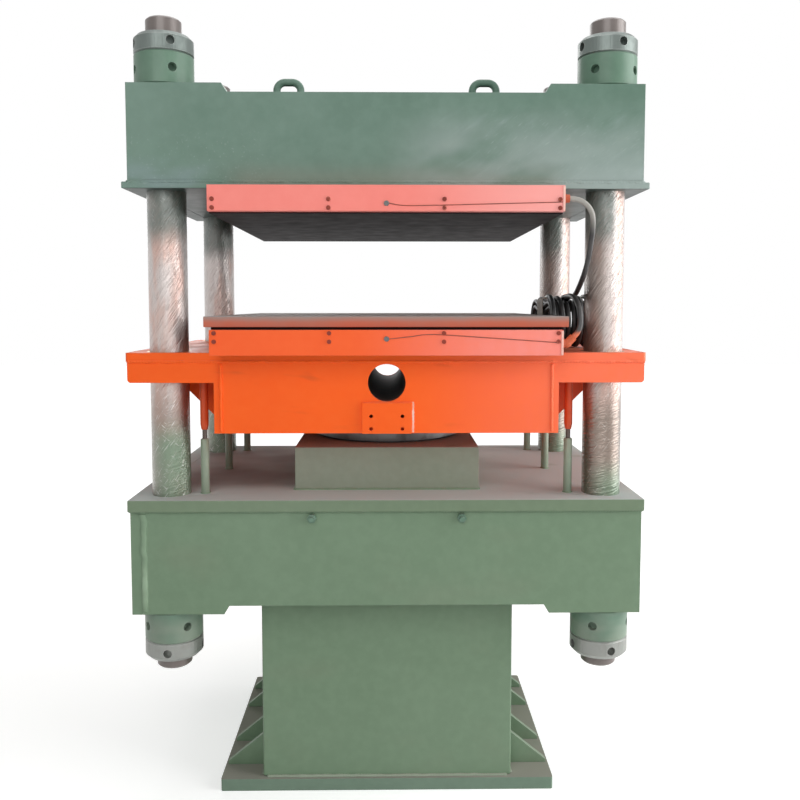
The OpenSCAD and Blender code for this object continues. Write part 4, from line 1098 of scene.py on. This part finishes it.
@dataclass
class Crosshead(SubAssembly):
    """The orange welded crosshead that the ram lifts, guided on the columns by bushes."""

    seam_x: float = 381 * MM
    seam_foot_gap: float = 4 * MM
    seam_top_gap: float = 6 * MM
    bead: WeldBead = WeldBead(radius=4.0 * MM, wander=1.3 * MM)
    plate_foot_gap: float = 3 * MM
    plate_bead: WeldBead = WeldBead(radius=2.6 * MM)
    chalk_gap: float = 4 * MM
    chalk_foot_gap: float = 2 * MM
    chalk_half: float = 2.6 * MM
    chalk_waver: float = 1.6 * MM
    chalk_proud: float = 0.3 * MM
    chalk_t: float = 0.5 * MM
    chalk_steps: int = 23

    def build(self) -> None:
        """Dresses the crosshead and lays its welds."""
        f = self.finishes
        self.dress(f.head_orange, "crosshead_plate", bevel=3.0 * MM)
        self.dress(f.head_orange, "crosshead_front", "crosshead_rear", "crosshead_webs")
        self.dress(f.head_orange, "crosshead_floor", "wing_ribs", "tapped_plate")
        # The cross tube is dressed near black, which paints the shade inside the bore.
        self.dress(f.bore_shade, "cross_tube")
        self.dress(f.head_orange, "guide_sleeves")
        # The stop stubs are dressed in the darker copy, which paints their shade.
        self.dress(f.shaded_stub_red, "stop_stubs")
        self.dress(f.bronze, "guide_bushes")
        self.dress(f.screw_steel, "stop_screws")
        self.welds()
        self.chalk_line()

    def welds(self) -> None:
        """Lays the welds along the crosshead's faces."""
        low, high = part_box("crosshead_front")
        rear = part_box("crosshead_rear")[1].y
        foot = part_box("crosshead_floor")[0].z + self.seam_foot_gap
        draft = MeshDraft()
        for y in (low.y, rear):
            self.bead.run(draft, Vector((low.x, y, high.z)), Vector((high.x, y, high.z)))
            for x in (-self.seam_x, self.seam_x):
                self.bead.run(draft, Vector((x, y, foot)), Vector((x, y, high.z - self.seam_top_gap)))
        plate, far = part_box("tapped_plate")
        self.plate_bead.run(draft, Vector((plate.x, low.y, far.z)), Vector((far.x, low.y, far.z)))
        for x in (plate.x, far.x):
            start = Vector((x, low.y, plate.z + self.plate_foot_gap))
            self.plate_bead.run(draft, start, Vector((x, low.y, far.z)))
        self.add(draft.make("crosshead_welds", self.finishes.head_orange), Slot.ORANGE)

    def chalk_line(self) -> None:
        """Draws the pale setting-out line beside the tapped plate."""
        low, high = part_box("tapped_plate")
        draft = MeshDraft()
        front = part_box("crosshead_front")[0].y - self.chalk_proud
        back = front + self.chalk_t
        x = high.x + self.chalk_gap
        rings = []
        for i in range(self.chalk_steps + 1):
            z = low.z + self.chalk_foot_gap + (high.z - low.z) * i / self.chalk_steps
            half = self.chalk_half + self.chalk_waver * noise.noise(Vector((i * 0.7, 3, 1)))
            rings.append([Vector((x - half, front, z)), Vector((x + half, front, z)),
                          Vector((x + half, back, z)), Vector((x - half, back, z))])
        draft.rings(rings)
        self.add(draft.make("chalk_line", self.finishes.chalk, smooth=False), Slot.ORANGE)


# A probe wire's bends: share of its run along the cover, and millimetres above the cover's lower edge.
UPPER_WIRE = ((0.1, 12.0), (0.35, 13.5), (0.7, 17.0), (1.0, 20.0))
LOWER_WIRE = ((0.12, 42.0), (0.26, 47.0), (0.6, 39.0), (1.0, 28.5))


@dataclass
class PlatenStack(SubAssembly):
    """A heated platen with its insulation, heater rods, covers, probe and wiring."""

    level: Level
    wire_rises: tuple[tuple[float, float], ...]
    strip_w: float = 4.5 * MM
    strip_t: float = 1.2 * MM
    strip_proud: float = 0.4 * MM
    strip_return: float = 12 * MM
    strip_foot_gap: float = 1 * MM
    strip_top_gap: float = 2 * MM
    wire_r: float = 0.9 * MM
    wire_gap: float = 0.1 * MM
    wire_end_gap: float = 1 * MM
    wire_steps: int = 16
    wire_sides: int = 8

    def build(self) -> None:
        """Dresses the platen and adds its wiring and folded strips."""
        f = self.finishes
        # The upper cover takes the paler copy of the orange, which paints in its light.
        cover = f.cover_salmon_lit if self.level is Level.UPPER else f.cover_orange
        self.dress(f.dark_platen, self.level.named("platen"), bevel=1.0 * MM)
        self.dress(f.board, self.level.named("insulation"))
        self.dress(f.bare_steel, self.level.named("heater_rods"))
        self.dress(f.oiled_steel, self.level.named("thermocouple"))
        self.dress(cover, self.level.named("front_cover"), self.level.named("rear_cover"))
        self.dress(f.painted_screw, self.level.named("cover_screws"))
        self.dress(f.screw_steel, self.level.named("platen_bolts"))
        self.dress(f.gland_orange, self.level.named("lead_gland"))
        if self.level is Level.LOWER:
            self.dress(f.mould_face, "mould_plate", bevel=1.5 * MM)
        self.folded_strip()
        self.probe_wire()

    def folded_strip(self) -> None:
        """Adds the light folded strip at the right end of the front cover."""
        low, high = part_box(self.level.named("front_cover"))
        draft = MeshDraft()
        outer, inner = high.x + self.strip_proud, high.x - self.strip_w
        front, back = low.y - self.strip_t, low.y + self.strip_return
        outline = [(inner, low.y), (inner, front), (outer, front), (outer, back),
                   (high.x, back), (high.x, low.y)]
        foot, crown = low.z + self.strip_foot_gap, high.z - self.strip_top_gap
        draft.slab([Vector((x, y, foot)) for x, y in outline], Vector((0, 0, crown - foot)))
        strip = draft.make(self.level.named("cover_strip"), self.finishes.fold_light, smooth=False)
        self.add(strip, Slot.ORANGE)

    def probe_wire(self) -> None:
        """Adds the probe's thin lead, clipped along the cover to its right end."""
        probe_low, probe_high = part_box(self.level.named("thermocouple"))
        low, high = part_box(self.level.named("front_cover"))
        face = low.y - self.wire_r - self.wire_gap
        start = Vector((probe_high.x, face, (probe_low.z + probe_high.z) / 2))
        span = high.x - self.strip_w - self.wire_end_gap - start.x
        bends = []
        for share, rise in self.wire_rises:
            bends.append(Vector((start.x + share * span, face, low.z + rise * MM)))
        path = smooth_path([start, *bends], self.wire_steps)
        draft = MeshDraft()
        draft.tube(path, lambda _: self.wire_r, self.wire_sides)
        wire = self.add(draft.make(self.level.named("probe_wire"), self.finishes.wire), Slot.RUBBER)


def path_length(path: Sequence[Vector]) -> float:
    """Length of a path through its points."""
    return sum((b - a).length for a, b in zip(path, path[1:]))


def smooth_path(points: Sequence[Vector], steps: int) -> list[Vector]:
    """Smooth curve through points, by a Catmull-Rom spline.

    Args:
        points: points of the route.
        steps: points per stretch.

    Returns:
        The finer path.
    """
    ends = [points[0] * 2 - points[1], *points, points[-1] * 2 - points[-2]]
    path = []
    for a, b, c, d in zip(ends, ends[1:], ends[2:], ends[3:]):
        for i in range(steps):
            t = i / steps
            path.append(0.5 * (2 * b + (c - a) * t + (2 * a - 5 * b + 4 * c - d) * t * t
                               + (3 * b - a - 3 * c + d) * t ** 3))
    return [*path, points[-1]]


@dataclass(frozen=True)
class HankShape:
    """The folded loops of a lead: sizes in millimetres, as the solids have them."""

    y: float = -40
    z: float = 1157.2
    run: float = 95
    fold_r: float = 36.5
    step: float = 15.6
    pitch: float = 13
    waist: float = 15
    turns: int = 2
    layers: int = 4
    run_share: float = 7 / 24
    tail: float = 9.7
    crossing: float = 0.25
    points_per_loop: int = 96

    def half_height(self, turn: float) -> float:
        """Half height of the loop, which spirals in and out again layer by layer."""
        layer = min(math.floor(turn / self.turns), self.layers - 1)
        within = turn - layer * self.turns
        v = within if layer % 2 else self.turns - within
        top = self.turns if layer in (0, self.layers - 1) else self.turns - self.crossing
        return self.fold_r + self.step * (max(self.crossing, min(top, v)) - self.crossing)

    def climb(self, turn: float) -> float:
        """Layers climbed at a turn; a step takes one crossing before and one after a layer's end."""
        total = 0.0
        for k in range(1, self.layers):
            c = max(0.0, min(1.0, (turn - k * self.turns + self.crossing) / (2 * self.crossing)))
            total += c * c * (3 - 2 * c)
        return total

    def in_plane(self, turn: float) -> tuple[float, float]:
        """Place of a point in the plane of the loops.

        Args:
            turn: turns from the start.

        Returns:
            Y and Z from the middle of the hank, in millimetres.
        """
        f, a, h = turn - math.floor(turn), self.run_share, self.half_height(turn)
        bend = 0.5 - a

        def drawn_in(y: float) -> float:
            """Half height where the waist draws the runs in."""
            return h - self.waist * (1 + math.cos(math.pi * y / self.run)) / 2

        if f < a:
            y = self.run * (2 * f / a - 1)
            return y, drawn_in(y)
        if f < 0.5:
            q = math.pi / 2 - math.pi * (f - a) / bend
            return self.run + h * math.cos(q), h * math.sin(q)
        if f < 0.5 + a:
            y = self.run * (1 - 2 * (f - 0.5) / a)
            return y, -drawn_in(y)
        q = -math.pi / 2 - math.pi * (f - 0.5 - a) / bend
        return -self.run + h * math.cos(q), h * math.sin(q)

    def path(self, x: float, way: int) -> list[Vector]:
        """Centreline of a hank.

        Args:
            x: X of the first layer, in millimetres.
            way: 1 if the layers go to +X, -1 if to -X.

        Returns:
            Points in the row frame, in metres.
        """
        top = self.z + self.half_height(0)
        count = self.turns * self.layers * self.points_per_loop
        points = [mm(x, self.y - self.run - self.tail, top)]
        for i in range(count + 1):
            turn = i / self.points_per_loop
            y, z = self.in_plane(turn)
            points.append(mm(x + way * self.pitch * self.climb(turn), self.y + y, self.z + z))
        points.append(mm(x + way * self.pitch * (self.layers - 1), self.y - self.run + self.tail, top))
        return points


UPPER_ROUTE: tuple[Point, ...] = (
    (405, -409, 1434), (410, -409, 1434), (428, -409, 1430.5), (443.5, -409, 1420.5), (454, -409, 1405.5),
    (458, -408, 1388), (458, -406, 1364), (456, -402, 1339), (454, -395, 1314), (452, -383, 1291),
    (450, -366, 1270), (449, -342, 1252), (450, -313, 1239), (453, -281, 1230), (457, -247, 1225),
    (462, -213, 1222), (467, -181, 1221), (470, -160, 1221), (470, -145, 1221))
LOWER_ROUTE: tuple[Point, ...] = (
    (418, -409, 1128), (421, -409, 1131), (428, -409, 1140), (432, -408, 1151), (434, -406, 1163),
    (434, -401, 1178), (434, -390, 1194), (433, -372, 1207), (432, -348, 1216), (432, -318, 1220),
    (434, -286, 1221), (438, -254, 1221), (443, -222, 1221), (449, -192, 1221), (454, -168, 1221),
    (456, -155, 1221), (456, -145, 1221))
# The upper lead hangs from the frame before the first point and goes with the crosshead after the second.
# A lug's crimped barrel and flat palm: place along it and half sizes in X and Z, in millimetres.
LUG_STATIONS: tuple[Point, ...] = (
    (0, 5.5, 5.5), (3, 5.5, 5.5), (4.5, 4.7, 4.7), (7, 4.7, 4.7), (8.5, 5.5, 5.5), (11, 5.5, 5.5),
    (12.5, 4.7, 4.7), (15, 4.7, 4.7), (16.5, 5.5, 5.5), (19, 5.4, 5.4), (22, 5.4, 3.2), (25, 5.2, 2.0),
    (28, 5.0, 1.9), (33, 5.0, 1.9), (35, 4.2, 1.9), (36, 2.6, 1.9))


@dataclass
class HeaterLead(SubAssembly):
    """A platen's supply lead: the free stretch, the hank that it is put away in, and its lug."""

    level: Level
    route: tuple[Point, ...]
    hank_x: float
    way: int
    bindings: tuple[bpy.types.Object, ...] = ()
    shape: HankShape = HankShape()
    diameter: float = 12 * MM
    sides: int = 14
    route_steps: int = 5
    lug_gap: float = 0.3 * MM
    lug_sides: int = 20

    def build(self) -> None:
        """Makes the lead, its hank and its lug."""
        lug = self.lug()
        self.free_stretch()
        self.hank(lug)

    def cable(self, name: str, path: Sequence[Vector], material: bpy.types.Material) -> bpy.types.Object:
        """Round cable along a path.

        Args:
            name: name of the piece.
            path: its centreline.
            material: its finish.

        Returns:
            The mesh tube.
        """
        draft = MeshDraft()
        draft.tube(path, lambda _: self.diameter / 2, self.sides)
        return draft.make(name, material)

    def free_stretch(self) -> None:
        """Makes the stretch from the gland to the hank; the upper one stays in the row frame and the lower
        one rides on the crosshead.
        """
        path = smooth_path([mm(*p) for p in self.route], self.route_steps)
        cable = self.cable(self.level.named("lead_cable"), path, self.finishes.sheath[self.level])
        if self.level is Level.UPPER:
            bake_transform(cable)
        else:
            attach(cable, self.body.value)
        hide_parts(self.level.named("lead"))
        LOG.info("added %s, %.3f m", cable.name, path_length(path))

    def hank(self, lug: bpy.types.Object) -> None:
        """Makes the hank.

        Args:
            lug: the lug on its free end; not used.
        """
        path = self.shape.path(self.hank_x, self.way)
        cable = self.cable(self.level.named("hank_cable"), path, self.finishes.rubber)
        self.add(cable, Slot.RUBBER)
        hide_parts(self.level.named("hank"))

    def lug(self) -> bpy.types.Object:
        """Makes the crimped lug on the lead's free end.

        Returns:
            The lug.
        """
        end = self.shape.path(self.hank_x, self.way)[-1] + Vector((0, self.lug_gap, 0))
        turns = [math.tau * k / self.lug_sides for k in range(self.lug_sides)]
        rings = []
        for y, half_x, half_z in LUG_STATIONS:
            rings.append([end + mm(half_x * math.cos(a), y, half_z * math.sin(a)) for a in turns])
        draft = MeshDraft()
        draft.rings(rings)
        lug = self.add(draft.make(self.level.named("lead_lug"), self.finishes.bare_steel), Slot.STEEL)
        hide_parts("lead_lugs")
        return lug


@dataclass
class HankTape(SubAssembly):
    """The cloth tape that holds both hanks at the waist."""

    corner: float = 7 * MM
    corner_points: int = 5
    edge_points: int = 12
    rows: int = 27
    thickness: float = 1.2 * MM
    laps: int = 3
    lap_depth: float = 0.35 * MM
    pucker_depth: float = 0.55 * MM
    ragged: float = 1.4 * MM

    def outline(self, shrink: float) -> list[tuple[float, float]]:
        """Rounded section of the tape round the hanks.

        Args:
            shrink: distance inside the tape's outer face, in metres.

        Returns:
            X and Z of the section's points.
        """
        low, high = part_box("hank_tape")
        x0, x1 = low.x + shrink, high.x - shrink
        z0, z1 = low.z + shrink, high.z - shrink
        r = self.corner - shrink
        corners = [(x1 - r, z1 - r, 0), (x0 + r, z1 - r, 90), (x0 + r, z0 + r, 180), (x1 - r, z0 + r, 270)]
        steps = [90 * i / self.corner_points for i in range(self.corner_points + 1)]
        arcs = []
        for cx, cz, start in corners:
            turns = [math.radians(start + step) for step in steps]
            arcs.append([(cx + r * math.cos(a), cz + r * math.sin(a)) for a in turns])
        points = []
        for arc, following in zip(arcs, [*arcs[1:], arcs[0]]):
            points.extend(arc)
            (ax, az), (bx, bz) = arc[-1], following[0]
            for i in range(1, self.edge_points):
                share = i / self.edge_points
                points.append((ax + (bx - ax) * share, az + (bz - az) * share))
        return points

    def row(self, outline: Sequence[tuple[float, float]], index: int, pressed: bool) -> list[Vector]:
        """One ring of the tape's points; the first and the last row have a ragged edge.

        Args:
            outline: section of the tape at this face.
            index: place of the row along Y.
            pressed: laps and puckers sink into this face.

        Returns:
            The ring.
        """
        low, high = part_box("hank_tape")
        share = index / (self.rows - 1)
        lap = 0.5 * (1 - math.cos(math.tau * self.laps * share))
        inward = {0: self.ragged, self.rows - 1: -self.ragged}.get(index, 0.0)
        ring = []
        for i, (x, z) in enumerate(outline):
            pucker = noise.noise(Vector((i * 0.55, share * 9, 4))) * 0.5 + 0.5
            sink = self.pucker_depth * pucker + self.lap_depth * lap if pressed else 0.0
            out = Vector((x - (low.x + high.x) / 2, 0, z - (low.z + high.z) / 2)).normalized()
            fray = abs(noise.noise(Vector((i * 0.9, share, 8)))) * inward
            ring.append(Vector((x, low.y + (high.y - low.y) * share + fray, z)) - out * sink)
        return ring

    def build(self) -> bpy.types.Object:
        """Makes the tape in overlapping turns with puckered edges.

        Returns:
            The tape.
        """
        outer, inner = self.outline(0.0), self.outline(self.thickness)
        rings = [self.row(outer, index, True) for index in range(self.rows)]
        rings += [self.row(inner, index, False) for index in reversed(range(self.rows))]
        draft = MeshDraft()
        draft.rings(rings, closed=True)
        tape = self.add(draft.make("hank_binding", self.finishes.tape), Slot.TAPE)
        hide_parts("hank_tape")
        return tape


@dataclass(frozen=True)
class SoftBox:
    """A large area light aimed at the press."""

    name: str
    place: Point
    size: float
    watts: float
    aim: Point = (0.0, 0.0, 1.0)

    def hang(self) -> None:
        """Puts the light in the scene."""
        light = bpy.data.lights.new(self.name, "AREA")
        light.size = self.size
        light.energy = self.watts
        lamp = bpy.data.objects.new(self.name, light)
        lamp.location = self.place
        lamp.rotation_euler = (Vector(self.aim) - Vector(self.place)).to_track_quat("-Z", "Y").to_euler()
        bpy.context.scene.collection.objects.link(lamp)


def seen_rays(tree: bpy.types.NodeTree) -> Socket:
    """1 for rays that show the surroundings themselves: straight, mirrored or through glass.

    Args:
        tree: node tree of the floor or the world.

    Returns:
        The value, 0 for the rays that only carry light.
    """
    rays = tree.nodes.new("ShaderNodeLightPath").outputs
    seen = rays["Is Camera Ray"]
    for name in ("Is Glossy Ray", "Is Transmission Ray"):
        either = tree.nodes.new("ShaderNodeMath")
        either.operation = "MAXIMUM"
        tree.links.new(seen, either.inputs[0])
        tree.links.new(rays[name], either.inputs[1])
        seen = either.outputs[0]
    return seen


@dataclass
class Studio:
    """Pale floor, soft light and the camera at the photograph's view."""

    eye: Point = (0.006, -2.231, 1.198)
    pitch: float = -3.79
    yaw: float = 0.75
    focal_px: float = 817
    picture_px: float = 800
    centre_drop_px: float = 40.3
    sensor: float = 36.0
    floor_half: float = 14.0
    floor_colour: Rgb = (0.84, 0.84, 0.83)
    floor_glow: tuple[float, float] = (0.45, 0.85)
    floor_fade: tuple[float, float] = (1.0, 6.0)
    sky: tuple[float, float] = (0.16, 0.46)

    def build(self) -> None:
        """Sets the stage."""
        bpy.context.scene.view_settings.view_transform = "Standard"
        self.floor()
        self.world()
        self.camera()
        for light in (
            SoftBox("key_light", (-0.9, -4.0, 3.2), 3.0, 74),
            SoftBox("side_light", (3.2, -0.9, 1.7), 2.6, 105),
            SoftBox("top_light", (0.2, 0.4, 3.9), 2.6, 34),
            SoftBox("back_light", (-1.2, 3.6, 2.6), 2.2, 30),
        ):
            light.hang()

    def floor(self) -> None:
        """Lays the floor, which is seen to fade into the pale surroundings."""
        h = self.floor_half
        draft = MeshDraft()
        draft.points = [Vector((x, y, 0)) for x, y in ((-h, -h), (h, -h), (h, h), (-h, h))]
        draft.faces = [(0, 1, 2, 3)]
        g = Graph("pale_floor")
        squares = [g.math("POWER", g.math("ABSOLUTE", g.part(axis)), 2.0) for axis in (Axis.X, Axis.Y)]
        away = g.math("SQRT", g.math("ADD", *squares))
        seen = seen_rays(g.tree)
        glow = g.between(g.ramp(away, *self.floor_fade), *self.floor_glow)
        g.set(Base_Color=self.floor_colour, Roughness=0.75, Specular_IOR_Level=0.2)
        g.set(Emission_Color=(1.0, 1.0, 1.0), Emission_Strength=g.times(seen, glow))
        draft.make("floor", g.material, smooth=False)

    def world(self) -> None:
        """Lights the surroundings softly, more from the right, and shows them white."""
        world = bpy.data.worlds.new("studio")
        world.use_nodes = True
        bpy.context.scene.world = world
        tree = world.node_tree
        background = tree.nodes["Background"]
        background.inputs["Color"].default_value = (1.0, 1.0, 1.0, 1.0)
        side = tree.nodes.new("ShaderNodeSeparateXYZ")
        tree.links.new(tree.nodes.new("ShaderNodeTexCoord").outputs["Generated"], side.inputs[0])
        glow = tree.nodes.new("ShaderNodeMapRange")
        glow.inputs["From Min"].default_value = -1.0
        glow.inputs["To Min"].default_value, glow.inputs["To Max"].default_value = self.sky
        tree.links.new(side.outputs[0], glow.inputs["Value"])
        strength = tree.nodes.new("ShaderNodeMath")
        strength.operation = "MAXIMUM"
        tree.links.new(seen_rays(tree), strength.inputs[0])
        tree.links.new(glow.outputs["Result"], strength.inputs[1])
        tree.links.new(strength.outputs[0], background.inputs["Strength"])

    def camera(self) -> None:
        """Puts the camera where the photograph was taken from."""
        lens = bpy.data.cameras.new("photo_view")
        lens.sensor_width = self.sensor
        lens.lens = self.sensor * self.focal_px / self.picture_px
        lens.shift_y = -self.centre_drop_px / self.picture_px
        pitch, yaw = math.radians(self.pitch), math.radians(self.yaw)
        ahead = Vector((math.sin(yaw) * math.cos(pitch), math.cos(yaw) * math.cos(pitch), math.sin(pitch)))
        camera = bpy.data.objects.new("photo_view", lens)
        camera.location = self.eye
        camera.rotation_mode = "QUATERNION"
        camera.rotation_quaternion = ahead.to_track_quat("-Z", "Y")
        bpy.context.scene.collection.objects.link(camera)
        bpy.context.scene.camera = camera


def main() -> None:
    """Builds the stage and dresses the press, one sub-assembly after another."""
    logging.basicConfig(level=logging.INFO, format="%(message)s")
    Studio().build()
    finishes = Finishes()
    tape = HankTape(finishes, Body.CROSSHEAD).build()
    HeaterLead(finishes, Body.CROSSHEAD, Level.UPPER, UPPER_ROUTE, hank_x=470, way=1,
               bindings=(tape,)).build()
    HeaterLead(finishes, Body.CROSSHEAD, Level.LOWER, LOWER_ROUTE, hank_x=456, way=-1).build()
    Pedestal(finishes, Body.FRAME).build()
    BaseBeam(finishes, Body.FRAME).build()
    Columns(finishes, Body.FRAME).build()
    HeadBeam(finishes, Body.FRAME).build()
    RamUnit(finishes, Body.FRAME).build()
    Crosshead(finishes, Body.CROSSHEAD).build()
    PlatenStack(finishes, Body.FRAME, Level.UPPER, UPPER_WIRE).build()
    PlatenStack(finishes, Body.CROSSHEAD, Level.LOWER, LOWER_WIRE).build()


if __name__ == "__main__":
    main()
